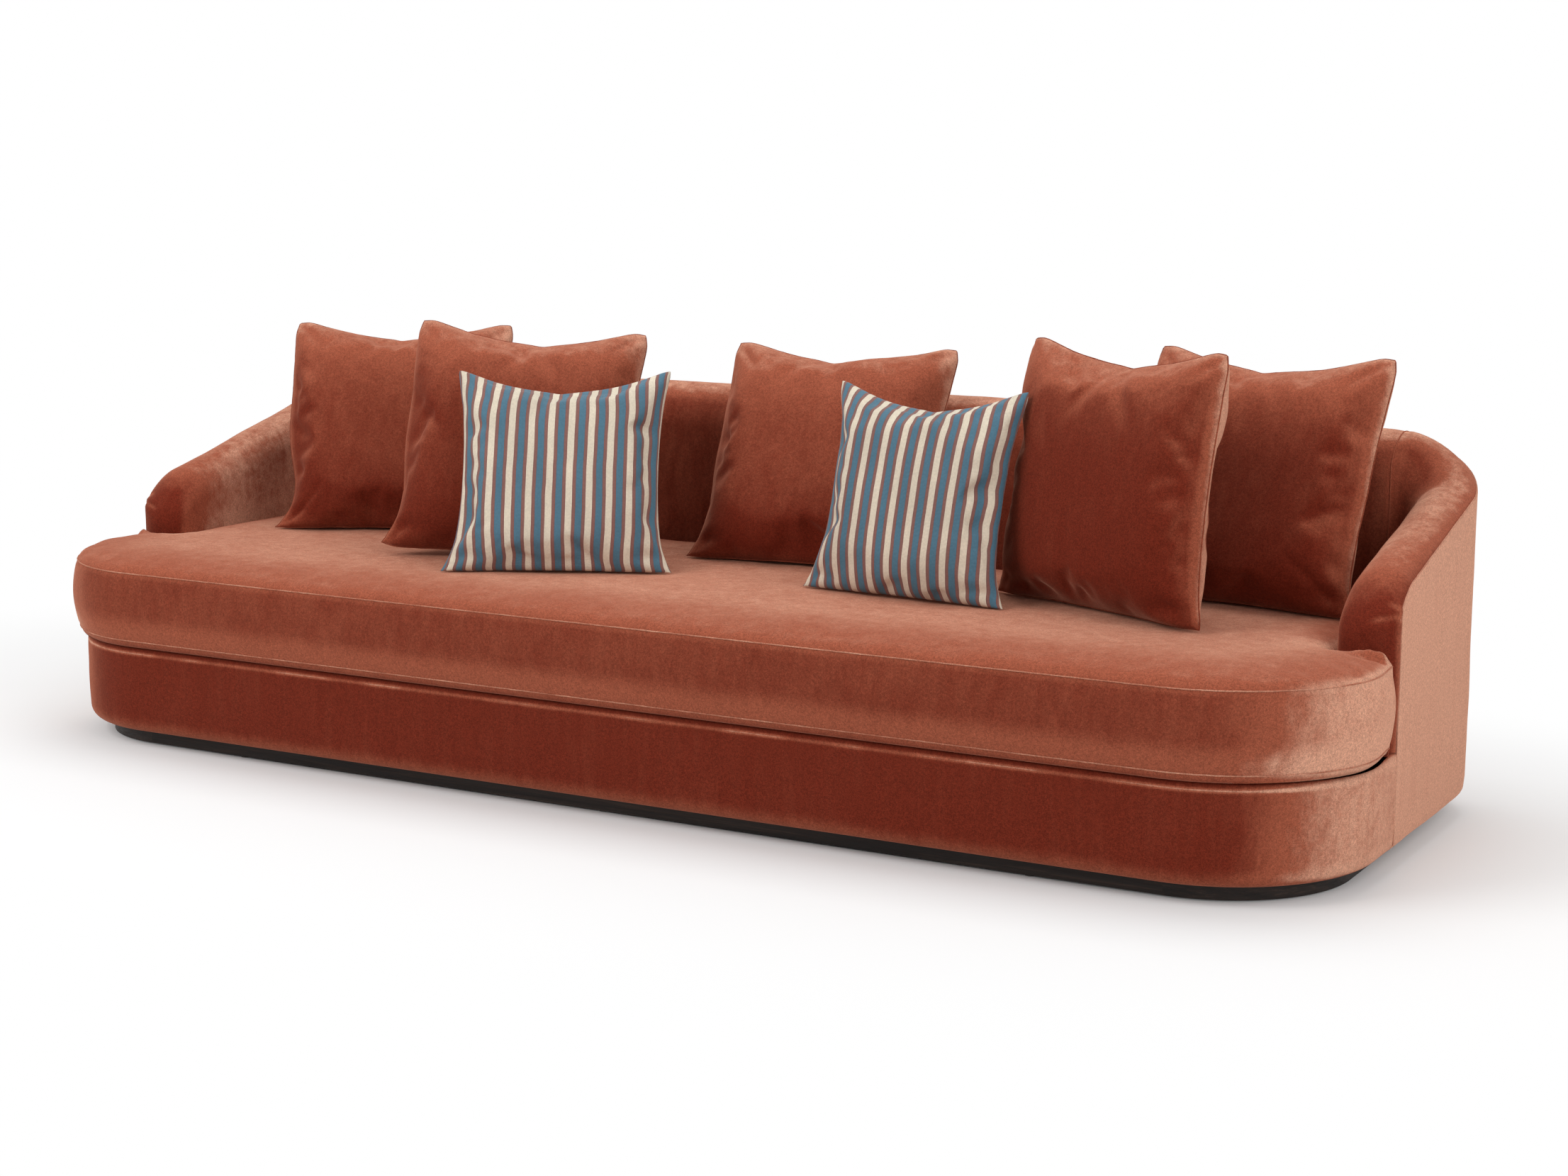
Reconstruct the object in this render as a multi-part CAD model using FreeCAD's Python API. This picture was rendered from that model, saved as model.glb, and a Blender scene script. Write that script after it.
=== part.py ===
import FreeCAD, Part

import math
import os

# A long, low sofa: a wood plinth, a padded base with round front corners, a back that sweeps
# down into the arms, one T-shaped bench cushion and seven loose cushions.
# Millimetres. +X is right as seen from the front, -Y is the front, +Z is up, the floor is Z = 0.

# Body of the sofa, over the covers
body_width = 2900.0
body_depth = 985.0
front_corner_radius = 298.0
rear_corner_radius = 165.0
underside_height = 34.0
lower_edge_radius = 26.0
border_top_height = 220.0

# Layers of the build
cover_thickness = 2.0
clearance = 0.3
board_thickness = 18.0
rail_thickness = 45.0
stud_depth = 30.0
frame_lift = 10.0

# Plinth and glides
plinth_recess = 48.0
plinth_thickness = 22.0
cover_to_plinth = 2.0
glide_height = 3.0
glide_radius = 9.0
glide_spacing = 900.0

# Seat support
deck_thickness = 10.0
strap_thickness = 1.5
strap_width = 60.0
cross_strap_count = 14
long_strap_count = 3
cross_rail_count = 3
cross_rail_height = 110.0
dust_cover_thickness = 1.0

# Back and arms
arm_setback = 385.0
arm_thickness = 110.0
back_thickness = 150.0
arm_ridge_inset = 48.0
back_ridge_inset = 62.0
arm_nose_reach = 36.0
arm_nose_drop = 58.0
ridge_at_arm_front = 519.0
ridge_at_arm_rear = 635.0
ridge_at_back_end = 722.0
ridge_at_back_middle = 742.0
back_level_half_length = 500.0
board_below_seam = 30.0
post_width = 45.0
top_rail_height = 50.0
back_post_spacing = 800.0
back_post_count = 3
corner_steps = 8
back_end_steps = 3

# Bench cushion
bench_overhang = 15.0
bench_side_bulge = 13.0
bench_lower_seam = 236.0
bench_upper_seam = 380.0
bench_crown = 412.0
bench_crown_width = 150.0
bench_gap_at_arm = 5.0
bench_rear_radius = 30.0
bench_tuck = 12.0

# Loose cushions
velvet_cushion_size = 510.0
velvet_cushion_plump = 164.0
velvet_top_dent = 40.0
striped_cushion_size = 420.0
striped_cushion_plump = 116.0
striped_top_dent = 40.0
cushion_side_draw = 22.0
cushion_bottom_draw = 10.0
cushion_rim = 6.0
cushion_cover_thickness = 1.6

# How far the middle of each loose cushion stands from its arm and from the back
left_rear_from_arm = 375.0
left_rear_from_back = 164.5
left_front_from_arm = 857.0
left_front_from_back = 368.5
left_striped_from_arm = 1039.0
left_striped_from_back = 471.5
centre_right_of_middle = 116.0
centre_from_back = 110.5
right_striped_from_arm = 853.0
right_striped_from_back = 414.5
right_front_from_arm = 465.0
right_front_from_back = 384.5
right_rear_from_arm = 280.0
right_rear_from_back = 148.5

# Places worked out from the sizes above
bench_reach = bench_overhang + bench_side_bulge
half_width = body_width / 2
front_y = -(body_depth + bench_reach) / 2 + bench_reach
rear_y = front_y + body_depth
arm_front_y = front_y + arm_setback
arm_rear_y = rear_y - rear_corner_radius
board_outer = cover_thickness + clearance
board_inner = board_outer + board_thickness
rail_outer = board_inner + clearance
rail_inner = rail_outer + rail_thickness
stud_inner = rail_outer + stud_depth
deck_inset = stud_inner + clearance
frame_bottom = underside_height + frame_lift
edge_centre = underside_height + lower_edge_radius
deck_top = border_top_height
deck_bottom = deck_top - deck_thickness
long_strap_bottom = deck_bottom - strap_thickness
rail_top = long_strap_bottom - strap_thickness
seat_rest = deck_top + clearance
arm_slope = (ridge_at_arm_rear - ridge_at_arm_front) / (arm_rear_y - arm_front_y)
back_end_x = half_width - rear_corner_radius
back_end_slope = 2 * (ridge_at_back_middle - ridge_at_back_end) / (back_end_x - back_level_half_length)
arm_face_x = half_width - arm_thickness
back_face_y = rear_y - back_thickness

# Each loose cushion: its kind, its middle in plan, and its lean back, turn and roll in degrees
cushion_places = {
    "left_rear_cushion": ("velvet", left_rear_from_arm - arm_face_x, back_face_y - left_rear_from_back,
                          26.0, 23.5, 0.0),
    "left_front_cushion": ("velvet", left_front_from_arm - arm_face_x, back_face_y - left_front_from_back,
                           23.0, 18.0, -3.0),
    "left_striped_cushion": ("striped", left_striped_from_arm - arm_face_x,
                             back_face_y - left_striped_from_back, 25.0, 27.0, 0.0),
    "centre_cushion": ("velvet", centre_right_of_middle, back_face_y - centre_from_back,
                       29.0, 5.0, 0.0),
    "right_striped_cushion": ("striped", arm_face_x - right_striped_from_arm,
                              back_face_y - right_striped_from_back, 16.0, -5.0, 0.0),
    "right_front_cushion": ("velvet", arm_face_x - right_front_from_arm, back_face_y - right_front_from_back,
                            8.5, -23.0, 0.0),
    "right_rear_cushion": ("velvet", arm_face_x - right_rear_from_arm, back_face_y - right_rear_from_back,
                           20.5, -9.0, 0.0),
}


def save(name, *shapes):
    """Write one node; several shapes make a group of separate solids."""
    shape = shapes[0] if len(shapes) == 1 else Part.makeCompound(list(shapes))
    shape.exportStep(os.path.join("parts", name + ".step"))


def mirrored(shape):
    """The same piece on the other side of the sofa."""
    return shape.mirror(FreeCAD.Vector(0, 0, 0), FreeCAD.Vector(1, 0, 0))


def fused(shapes):
    """One solid from pieces that share faces."""
    return shapes[0].multiFuse(shapes[1:]).removeSplitter()


def wire_at(place, section):
    """A closed section of lines and arcs, put in space by place(depth, height).

    A section is a list of points. An arc is written as a pair: a point on it, then its end.
    """
    edges = []
    here = section[0]
    for move in section[1:] + [section[0]]:
        if isinstance(move[0], tuple):
            middle, end = move
            edges.append(Part.Arc(place(*here), place(*middle), place(*end)).toShape())
        else:
            end = move
            edges.append(Part.makeLine(place(*here), place(*end)))
        here = end
    return Part.Wire(edges)


def arc_to(centre, radius, from_angle, to_angle):
    """An arc move of a section, in degrees: its middle point and its end."""
    points = []
    for angle in ((from_angle + to_angle) / 2, to_angle):
        turn = math.radians(angle)
        points.append((centre[0] + radius * math.cos(turn), centre[1] + radius * math.sin(turn)))
    return tuple(points)


class Ring:
    """A rounded rectangle in plan. Sections on it are (depth inwards, height)."""

    def __init__(self, inset, front_radius, rear_radius):
        self.half = half_width - inset
        self.front = front_y + inset
        self.rear = rear_y - inset
        self.front_radius = front_radius
        self.rear_radius = rear_radius

    def front_bar(self, section):
        """The straight front run, between the round corners."""
        end = self.half - self.front_radius
        wire = wire_at(lambda depth, height: FreeCAD.Vector(-end, self.front + depth, height), section)
        return Part.Face(wire).extrude(FreeCAD.Vector(2 * end, 0, 0))

    def rear_bar(self, section):
        """The straight rear run."""
        end = self.half - self.rear_radius
        wire = wire_at(lambda depth, height: FreeCAD.Vector(-end, self.rear - depth, height), section)
        return Part.Face(wire).extrude(FreeCAD.Vector(2 * end, 0, 0))

    def side_bar(self, section, from_y, to_y):
        """A straight run on the right side."""
        wire = wire_at(lambda depth, height: FreeCAD.Vector(self.half - depth, from_y, height), section)
        return Part.Face(wire).extrude(FreeCAD.Vector(0, to_y - from_y, 0))

    def front_corner(self, section):
        """The round front corner on the right."""
        middle = FreeCAD.Vector(self.half - self.front_radius, self.front + self.front_radius, 0)
        wire = wire_at(lambda depth, height: FreeCAD.Vector(middle.x, self.front + depth, height), section)
        return Part.Face(wire).revolve(middle, FreeCAD.Vector(0, 0, 1), 90)

    def rear_corner(self, section):
        """The round rear corner on the right."""
        middle = FreeCAD.Vector(self.half - self.rear_radius, self.rear - self.rear_radius, 0)
        wire = wire_at(lambda depth, height: FreeCAD.Vector(self.half - depth, middle.y, height), section)
        return Part.Face(wire).revolve(middle, FreeCAD.Vector(0, 0, 1), 90)

    def side_front(self):
        """Where the straight side begins, behind the front corner."""
        return self.front + self.front_radius

    def side_rear(self):
        """Where the straight side ends, before the rear corner."""
        return self.rear - self.rear_radius

    def plate(self, bottom, top):
        """A flat plate of the ring's whole outline."""
        block = Part.makeBox(2 * self.half, self.rear - self.front, top - bottom,
                             FreeCAD.Vector(-self.half, self.front, bottom))
        corners = {self.front: self.front_radius, self.rear: self.rear_radius}
        for y, radius in corners.items():
            edges = [edge for edge in block.Edges
                     if edge.BoundBox.ZLength > (top - bottom) / 2 and abs(edge.BoundBox.Center.y - y) < 1]
            block = block.makeFillet(radius, edges)
        return block


body = Ring(0.0, front_corner_radius, rear_corner_radius)
plinth = Ring(plinth_recess, front_corner_radius - plinth_recess, rear_corner_radius - plinth_recess)


def box_section(outer, inner, bottom, top):
    """A plain rectangular bar."""
    return [(outer, bottom), (outer, top), (inner, top), (inner, bottom)]


def lower_edge_start(depth):
    """Angle on the rounded lower edge, where a face at this depth meets it."""
    radius = lower_edge_radius - board_outer
    return 180 + math.degrees(math.acos((lower_edge_radius - depth) / radius))


def board_section(top):
    """A board or pad behind the cover, its lower edge rounded to follow the cover."""
    centre = (lower_edge_radius, edge_centre)
    radius = lower_edge_radius - board_outer
    inner_angle = lower_edge_start(board_inner)
    foot = arc_to(centre, radius, 180, inner_angle)[1]
    return [(board_outer, top), (board_inner, top), foot, arc_to(centre, radius, inner_angle, 180)]


def cover_section(top, lip):
    """A cover drawn over the outside and turned under; with a lip it also turns in at the top."""
    tuck = plinth_recess - cover_to_plinth
    centre = (lower_edge_radius, edge_centre)
    outside = [(0.0, top)]
    if lip > cover_thickness:
        outside += [(lip, top), (lip, top - cover_thickness), (cover_thickness, top - cover_thickness)]
    else:
        outside += [(cover_thickness, top)]
    return outside + [
        (cover_thickness, edge_centre),
        arc_to(centre, lower_edge_radius - cover_thickness, 180, 270),
        (tuck, underside_height + cover_thickness),
        (tuck, underside_height),
        (lower_edge_radius, underside_height),
        arc_to(centre, lower_edge_radius, 270, 180),
    ]


# Plinth and glides

def build_plinth():
    """Eight lengths of stained wood on felt glides."""
    section = box_section(0.0, plinth_thickness, glide_height, frame_bottom)
    save("plinth_front_rail", plinth.front_bar(section))
    save("plinth_rear_rail", plinth.rear_bar(section))
    side = plinth.side_bar(section, plinth.side_front(), plinth.side_rear())
    save("plinth_right_rail", side)
    save("plinth_left_rail", mirrored(side))
    save("plinth_front_right_corner", plinth.front_corner(section))
    save("plinth_front_left_corner", mirrored(plinth.front_corner(section)))
    save("plinth_rear_right_corner", plinth.rear_corner(section))
    save("plinth_rear_left_corner", mirrored(plinth.rear_corner(section)))
    glides = []
    middle = plinth_thickness / 2
    for column in (-1, 0, 1):
        for y in (plinth.front + middle, plinth.rear - middle):
            place = FreeCAD.Vector(column * glide_spacing, y, 0)
            glides.append(Part.makeCylinder(glide_radius, glide_height, place))
    save("felt_glides", *glides)


# Base frame and seat support

def build_base_frame():
    """The timber ring of the base, with cross rails between its long sides."""
    section = box_section(rail_outer, rail_inner, frame_bottom, rail_top)
    save("base_front_rail", body.front_bar(section))
    save("base_rear_rail", body.rear_bar(section))
    end_rail = body.side_bar(section, body.side_front(), body.side_rear())
    save("base_end_rails", end_rail, mirrored(end_rail))
    front_former = body.front_corner(section)
    save("base_front_corner_formers", front_former, mirrored(front_former))
    spacing = (half_width - front_corner_radius) * 2 / (cross_rail_count + 1)
    length = body_depth - 2 * rail_inner
    rails = []
    for index in range(cross_rail_count):
        x = spacing * (index + 1) - spacing * (cross_rail_count + 1) / 2
        corner = FreeCAD.Vector(x - rail_thickness / 2, front_y + rail_inner, frame_bottom)
        rails.append(Part.makeBox(rail_thickness, length, cross_rail_height, corner))
    save("base_cross_rails", *rails)


def build_seat_support():
    """Elastic straps both ways over the rails, a padded deck on them, and a dust cover below."""
    inner_length = body_depth - 2 * deck_inset
    run = 2 * (half_width - front_corner_radius) - strap_width
    cross_straps = []
    for index in range(cross_strap_count):
        x = run * (index / (cross_strap_count - 1) - 0.5)
        corner = FreeCAD.Vector(x - strap_width / 2, front_y + deck_inset, rail_top)
        cross_straps.append(Part.makeBox(strap_width, inner_length, strap_thickness, corner))
    save("cross_straps", *cross_straps)
    long_length = 2 * (half_width - deck_inset)
    straight = body.side_rear() - body.side_front() - strap_width
    long_straps = []
    for index in range(long_strap_count):
        y = body.side_front() + strap_width / 2 + straight * index / (long_strap_count - 1)
        corner = FreeCAD.Vector(-long_length / 2, y - strap_width / 2, long_strap_bottom)
        long_straps.append(Part.makeBox(long_length, strap_width, strap_thickness, corner))
    save("long_straps", *long_straps)
    deck = Ring(deck_inset, front_corner_radius - deck_inset, rear_corner_radius - deck_inset)
    save("seat_deck", deck.plate(deck_bottom, deck_top))
    inset = plinth_recess + plinth_thickness
    dust = Ring(inset, front_corner_radius - inset, rear_corner_radius - inset)
    save("dust_cover", dust.plate(frame_bottom - dust_cover_thickness, frame_bottom))


# Padded border round the front of the base

def build_border():
    """Foam behind a velvet band that runs round the front to the arm seams."""
    pad = board_section(border_top_height - cover_thickness - clearance)
    save("border_front_pad", body.front_bar(pad))
    seam = arm_front_y - clearance
    corner_pad = fused([body.front_corner(pad), body.side_bar(pad, body.side_front(), seam)])
    save("border_right_pad", corner_pad)
    save("border_left_pad", mirrored(corner_pad))
    band = cover_section(border_top_height, stud_inner)
    right = fused([body.front_corner(band), body.side_bar(band, body.side_front(), seam)])
    save("border_cover", fused([body.front_bar(band), right, mirrored(right)]))


# Back and arms

class Station:
    """A cut across the back or an arm: where it stands, and the shape of its rolled top."""

    def __init__(self, outer, inwards, thickness, ridge_inset, ridge):
        self.outer = outer
        self.inwards = inwards
        self.thickness = thickness
        self.ridge_inset = ridge_inset
        self.roll = thickness - ridge_inset
        self.roll_height = ridge - self.roll

    def place(self, depth, height):
        point = self.outer + self.inwards * depth
        return FreeCAD.Vector(point.x, point.y, height)

    def roll_angle(self, radius, depth):
        """Angle on the rolled top, in degrees from the inner side, above a given depth."""
        return 180 - math.degrees(math.acos((self.ridge_inset - depth) / radius))

    def seam_height(self):
        """Height of the seam between the inside and the outside covers."""
        rise = math.sqrt((self.roll - cover_thickness) ** 2 - self.ridge_inset ** 2)
        return self.roll_height + rise - clearance

    def board_top(self):
        return self.seam_height() - board_below_seam

    def outside_cover(self):
        return cover_section(self.seam_height(), 0.0)

    def board(self):
        return board_section(self.board_top())

    def base_former(self):
        """Timber of the base ring, where it goes round the rear corner."""
        return box_section(rail_outer, rail_inner, frame_bottom, rail_top)

    def padding(self):
        """Foam on the inner side that hooks over the board."""
        radius = self.roll - board_outer
        centre = (self.ridge_inset, self.roll_height)
        start_angle = self.roll_angle(radius, board_outer)
        hook = self.board_top() + clearance
        start = arc_to(centre, radius, 0, start_angle)[1]
        inner = self.thickness - board_outer
        return [(deck_inset, seat_rest), (deck_inset, hook), (board_outer, hook), start,
                arc_to(centre, radius, start_angle, 0), (inner, seat_rest)]

    def inside_cover(self):
        """Velvet over the rolled top and down the inner side."""
        centre = (self.ridge_inset, self.roll_height)
        under = self.roll - cover_thickness
        outer_angle = self.roll_angle(self.roll, 0.0)
        under_angle = self.roll_angle(under, 0.0)
        return [arc_to(centre, self.roll, 0, outer_angle)[1],
                arc_to(centre, self.roll, outer_angle, 0),
                (self.thickness, seat_rest),
                (self.thickness - cover_thickness, seat_rest),
                (self.thickness - cover_thickness, self.roll_height),
                arc_to(centre, under, 0, under_angle)]


def arm_station(y):
    ridge = ridge_at_arm_front + arm_slope * (y - arm_front_y)
    return Station(FreeCAD.Vector(half_width, y, 0), FreeCAD.Vector(-1, 0, 0),
                   arm_thickness, arm_ridge_inset, ridge)


def corner_ridge(share):
    """Height of the ridge in the rear corner: it leaves at the arm's slope and arrives at the back's."""
    run = rear_corner_radius * math.pi / 2
    rest = 1 - share
    return (ridge_at_arm_rear * rest ** 2 * (1 + 2 * share) + ridge_at_back_end * share ** 2 * (1 + 2 * rest)
            + arm_slope * run * share * rest ** 2 - back_end_slope * run * share ** 2 * rest)


def corner_station(share):
    """A cut in the rear corner, from the arm (0) to the back (1)."""
    turn = math.radians(90 * share)
    out = FreeCAD.Vector(math.cos(turn), math.sin(turn), 0)
    centre = FreeCAD.Vector(half_width - rear_corner_radius, rear_y - rear_corner_radius, 0)
    return Station(centre + out * rear_corner_radius, out * -1,
                   arm_thickness + (back_thickness - arm_thickness) * share,
                   arm_ridge_inset + (back_ridge_inset - arm_ridge_inset) * share,
                   corner_ridge(share))


def back_station(x):
    """A cut across the back, which is level in the middle and falls towards its ends."""
    share = max(0.0, (abs(x) - back_level_half_length) / (back_end_x - back_level_half_length))
    ridge = ridge_at_back_middle - (ridge_at_back_middle - ridge_at_back_end) * share ** 2
    return Station(FreeCAD.Vector(x, rear_y, 0), FreeCAD.Vector(0, -1, 0),
                   back_thickness, back_ridge_inset, ridge)


arm_run = [arm_station(arm_front_y), arm_station(arm_rear_y)]
corner_run = [corner_station(step / corner_steps) for step in range(corner_steps + 1)]
falling_length = (back_end_x - back_level_half_length) / back_end_steps
falling_run = [back_station(back_end_x - falling_length * step) for step in range(back_end_steps + 1)]
back_run = falling_run + [back_station(-station.outer.x) for station in reversed(falling_run)]


def loft(stations, section_name):
    """A solid through the same section at each station."""
    wires = [wire_at(station.place, getattr(station, section_name)()) for station in stations]
    return Part.makeLoft(wires, True, True)


def nose(inset):
    """The round front of the right arm, drawn in by inset all over."""
    radius = arm_thickness / 2 - inset
    reach = arm_nose_reach - inset
    wires = []
    for angle in (0, 20, 40, 60, 77):
        turn = math.radians(angle)
        side = inset + radius * (1 - math.cos(turn))
        station = arm_station(arm_front_y - reach * math.sin(turn))
        roll = station.roll - side
        centre = (station.ridge_inset, station.roll_height - arm_nose_drop * (1 - math.cos(turn)))
        outer_angle = 180 - math.degrees(math.acos((station.ridge_inset - side) / roll))
        start = arc_to(centre, roll, 0, outer_angle)[1]
        section = [(side, seat_rest), start, arc_to(centre, roll, outer_angle, 0),
                   (arm_thickness - side, seat_rest)]
        wires.append(wire_at(station.place, section))
    return Part.makeLoft(wires, True, True)


def build_back_and_arms():
    """Boards, rear corner formers, padding and covers of the back and arms."""
    arm_board = loft([arm_station(arm_front_y + clearance), arm_station(arm_rear_y)], "board")
    save("right_arm_board", arm_board)
    save("left_arm_board", mirrored(arm_board))
    corner_board = loft(corner_run, "board")
    save("right_corner_board", corner_board)
    save("left_corner_board", mirrored(corner_board))
    save("back_board", loft(back_run, "board"))
    former = loft(corner_run, "base_former")
    save("base_rear_corner_formers", former, mirrored(former))
    arm_pad = fused([loft(arm_run, "padding"), nose(board_outer)])
    save("right_arm_padding", arm_pad)
    save("left_arm_padding", mirrored(arm_pad))
    corner_pad = loft(corner_run, "padding")
    save("right_corner_padding", corner_pad)
    save("left_corner_padding", mirrored(corner_pad))
    save("back_padding", loft(back_run, "padding"))
    nose_skin = nose(0.0).cut(nose(cover_thickness))
    arm_skin = fused([nose_skin, loft(arm_run, "inside_cover"), loft(corner_run, "inside_cover")])
    save("right_arm_inside_cover", arm_skin)
    save("left_arm_inside_cover", mirrored(arm_skin))
    save("inside_back_cover", loft(back_run, "inside_cover"))
    side_skin = fused([loft(arm_run, "outside_cover"), loft(corner_run, "outside_cover")])
    save("outside_cover", fused([loft(back_run, "outside_cover"), side_skin, mirrored(side_skin)]))


def build_back_frame():
    """Posts and top rails inside the back and arms."""
    post_front = arm_front_y + clearance
    rail_front = post_front + post_width
    inner_x = half_width - stud_inner
    post_top = arm_station(post_front).board_top()
    post = Part.makeBox(stud_depth, post_width, post_top - rail_top,
                        FreeCAD.Vector(inner_x, post_front, rail_top))
    save("arm_front_posts", post, mirrored(post))
    near = arm_station(rail_front).board_top()
    far = arm_station(arm_rear_y).board_top()
    corners = [(rail_front, near - top_rail_height), (arm_rear_y, far - top_rail_height),
               (arm_rear_y, far), (rail_front, near)]
    profile = wire_at(lambda y, height: FreeCAD.Vector(inner_x, y, height), corners)
    arm_rail = Part.Face(profile).extrude(FreeCAD.Vector(stud_depth, 0, 0))
    save("arm_top_rails", arm_rail, mirrored(arm_rail))
    rail_level = back_station(back_end_x).board_top() - top_rail_height
    inner_y = rear_y - stud_inner
    save("back_top_rail", Part.makeBox(2 * back_end_x, stud_depth, top_rail_height,
                                       FreeCAD.Vector(-back_end_x, inner_y, rail_level)))
    posts = []
    for index in range(back_post_count):
        x = back_post_spacing * (index - (back_post_count - 1) / 2)
        posts.append(Part.makeBox(post_width, stud_depth, rail_level - rail_top,
                                  FreeCAD.Vector(x - post_width / 2, inner_y, rail_top)))
    save("back_posts", *posts)


# Bench cushion

bench_notch = arm_front_y - arm_nose_reach - bench_gap_at_arm
bench_inner_half = half_width - arm_thickness - bench_gap_at_arm
bench_back = rear_y - back_thickness - bench_gap_at_arm
bench_ring = Ring(-bench_overhang, front_corner_radius + bench_overhang, rear_corner_radius)


def crown_point(width, rise, share):
    """A point on the crown, which rises from an edge (share 0) and is level at its width (share 1)."""
    radius = (width ** 2 + rise ** 2) / (2 * rise)
    angle = math.asin(width / radius) * (1 - share)
    return width - radius * math.sin(angle), rise - radius * (1 - math.cos(angle))


def bench_front(inset):
    """The front of the bench cushion, which runs past both arms, drawn in by inset."""
    bottom = seat_rest + inset
    top = bench_crown - inset
    middle = (bench_lower_seam + bench_upper_seam) / 2
    along, up = crown_point(bench_crown_width, top - bench_upper_seam, 0.5)
    edge = [(inset + bench_tuck, bottom), (inset, bench_lower_seam),
            ((inset - bench_side_bulge, middle), (inset, bench_upper_seam)),
            ((inset + along, bench_upper_seam + up), (inset + bench_crown_width, top))]
    to_notch = bench_notch - inset - bench_ring.front
    to_corner = bench_ring.front_radius
    front = bench_ring.front_bar(edge + [(to_notch, top), (to_notch, bottom)])
    corner_section = edge + [(to_corner, top), (to_corner, bottom)]
    corner = bench_ring.front_corner(corner_section)
    side = bench_ring.side_bar(corner_section, bench_ring.side_front(), bench_notch - inset)
    return fused([front, corner, side, mirrored(corner), mirrored(side)])


def bench_rear(inset):
    """The rear of the bench cushion, between the arms, drawn in by inset."""
    bottom = seat_rest + inset
    top = bench_crown - inset
    half = bench_inner_half - inset
    front = bench_notch - inset
    back = bench_back - inset
    width = bench_crown_width / 2
    along, up = crown_point(width, top - bench_upper_seam, 0.5)
    shoulder = bench_upper_seam + up
    arch = [(-half, bottom), (-half, bench_upper_seam), ((along - half, shoulder), (width - half, top)),
            (half - width, top), ((half - along, shoulder), (half, bench_upper_seam)), (half, bottom)]
    arch_wire = wire_at(lambda x, height: FreeCAD.Vector(x, front, height), arch)
    across = Part.Face(arch_wire).extrude(FreeCAD.Vector(0, back - front, 0))
    slope = [(front, bottom), (front, top), (back - width, top),
             ((back - along, shoulder), (back, bench_upper_seam)), (back, bottom)]
    slope_wire = wire_at(lambda y, height: FreeCAD.Vector(-half, y, height), slope)
    lengthways = Part.Face(slope_wire).extrude(FreeCAD.Vector(2 * half, 0, 0))
    block = across.common(lengthways)
    upright = [edge for edge in block.Edges
               if edge.BoundBox.YMin > back - clearance and edge.BoundBox.XLength < clearance
               and edge.BoundBox.ZLength > clearance]
    return block.makeFillet(bench_rear_radius, upright) if upright else block


def build_bench():
    """Velvet cover over two foam blocks."""
    outside = fused([bench_front(0.0), bench_rear(0.0)])
    inside = fused([bench_front(cover_thickness), bench_rear(cover_thickness)])
    save("bench_cushion_cover", outside.cut(inside))
    save("bench_front_foam", bench_front(cover_thickness + clearance))
    save("bench_rear_foam", bench_rear(cover_thickness + clearance))


# Loose cushions

def cushion(size, plump, top_dent, inset):
    """A stuffed square cushion standing upright, its middle at the origin, drawn in by inset.

    Its sides and edges draw in between the corners, and its top is dented.
    """
    half = size / 2 - inset
    rim = cushion_rim - inset
    fronts = []
    backs = []
    wires = []
    for level in (-1.0, -0.85, -0.5, 0.0, 0.5, 0.85, 1.0):
        height = half * level
        width = half - cushion_side_draw * (1 - level ** 2)
        swell = rim + (plump / 2 - inset - rim) * (1 - level ** 2) ** 0.55
        dent = top_dent if level > 0 else cushion_bottom_draw
        middle = height - dent * level ** 3
        left, right = FreeCAD.Vector(-width, 0, height), FreeCAD.Vector(width, 0, height)
        off = FreeCAD.Vector(0, rim, 0)
        front = Part.Arc(left - off, FreeCAD.Vector(0, -swell, middle), right - off).toShape()
        back = Part.Arc(right + off, FreeCAD.Vector(0, swell, middle), left + off).toShape()
        fronts.append(front)
        backs.append(back)
        wires.append(Part.Wire([front, Part.makeLine(right - off, right + off),
                                back, Part.makeLine(left + off, left - off)]))
    wall = Part.makeLoft(wires, False, True)
    ends = [Part.makeRuledSurface(fronts[index], backs[index]) for index in (0, -1)]
    shell = Part.makeShell(wall.Faces + ends)
    shell.sewShape()
    solid = Part.Solid(shell)
    solid.fix(0.01, 0.01, 0.01)
    return solid


def stand(shape, size, x, y, lean, turn, roll):
    """Roll, lean and turn an upright cushion, and set its lowest corner on the bench cushion."""
    origin = FreeCAD.Vector(0, 0, 0)
    placed = shape.copy()
    placed.rotate(origin, FreeCAD.Vector(0, 1, 0), -roll)
    placed.rotate(origin, FreeCAD.Vector(1, 0, 0), -lean)
    placed.rotate(origin, FreeCAD.Vector(0, 0, 1), turn)
    tilt, lean_angle = math.radians(abs(roll)), math.radians(lean)
    drop = size / 2 * (math.cos(tilt) + math.sin(tilt)) * math.cos(lean_angle)
    drop += cushion_rim * math.sin(lean_angle)
    placed.translate(FreeCAD.Vector(x, y, bench_crown + clearance + drop))
    return placed


def build_cushions():
    """Five velvet and two striped cushions, each a sewn cover over a feather pad."""
    kinds = {"velvet": (velvet_cushion_size, velvet_cushion_plump, velvet_top_dent),
             "striped": (striped_cushion_size, striped_cushion_plump, striped_top_dent)}
    shapes = {}
    for kind, sizes in kinds.items():
        cover = cushion(*sizes, 0.0).cut(cushion(*sizes, cushion_cover_thickness))
        shapes[kind] = (sizes[0], cover, cushion(*sizes, cushion_cover_thickness + clearance))
    for name, (kind, *place) in cushion_places.items():
        size, cover, pad = shapes[kind]
        save(name + "_cover", stand(cover, size, *place))
        save(name + "_pad", stand(pad, size, *place))


os.makedirs("parts", exist_ok=True)
build_plinth()
build_base_frame()
build_seat_support()
build_border()
build_back_and_arms()
build_back_frame()
build_bench()
build_cushions()
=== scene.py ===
import math

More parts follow.
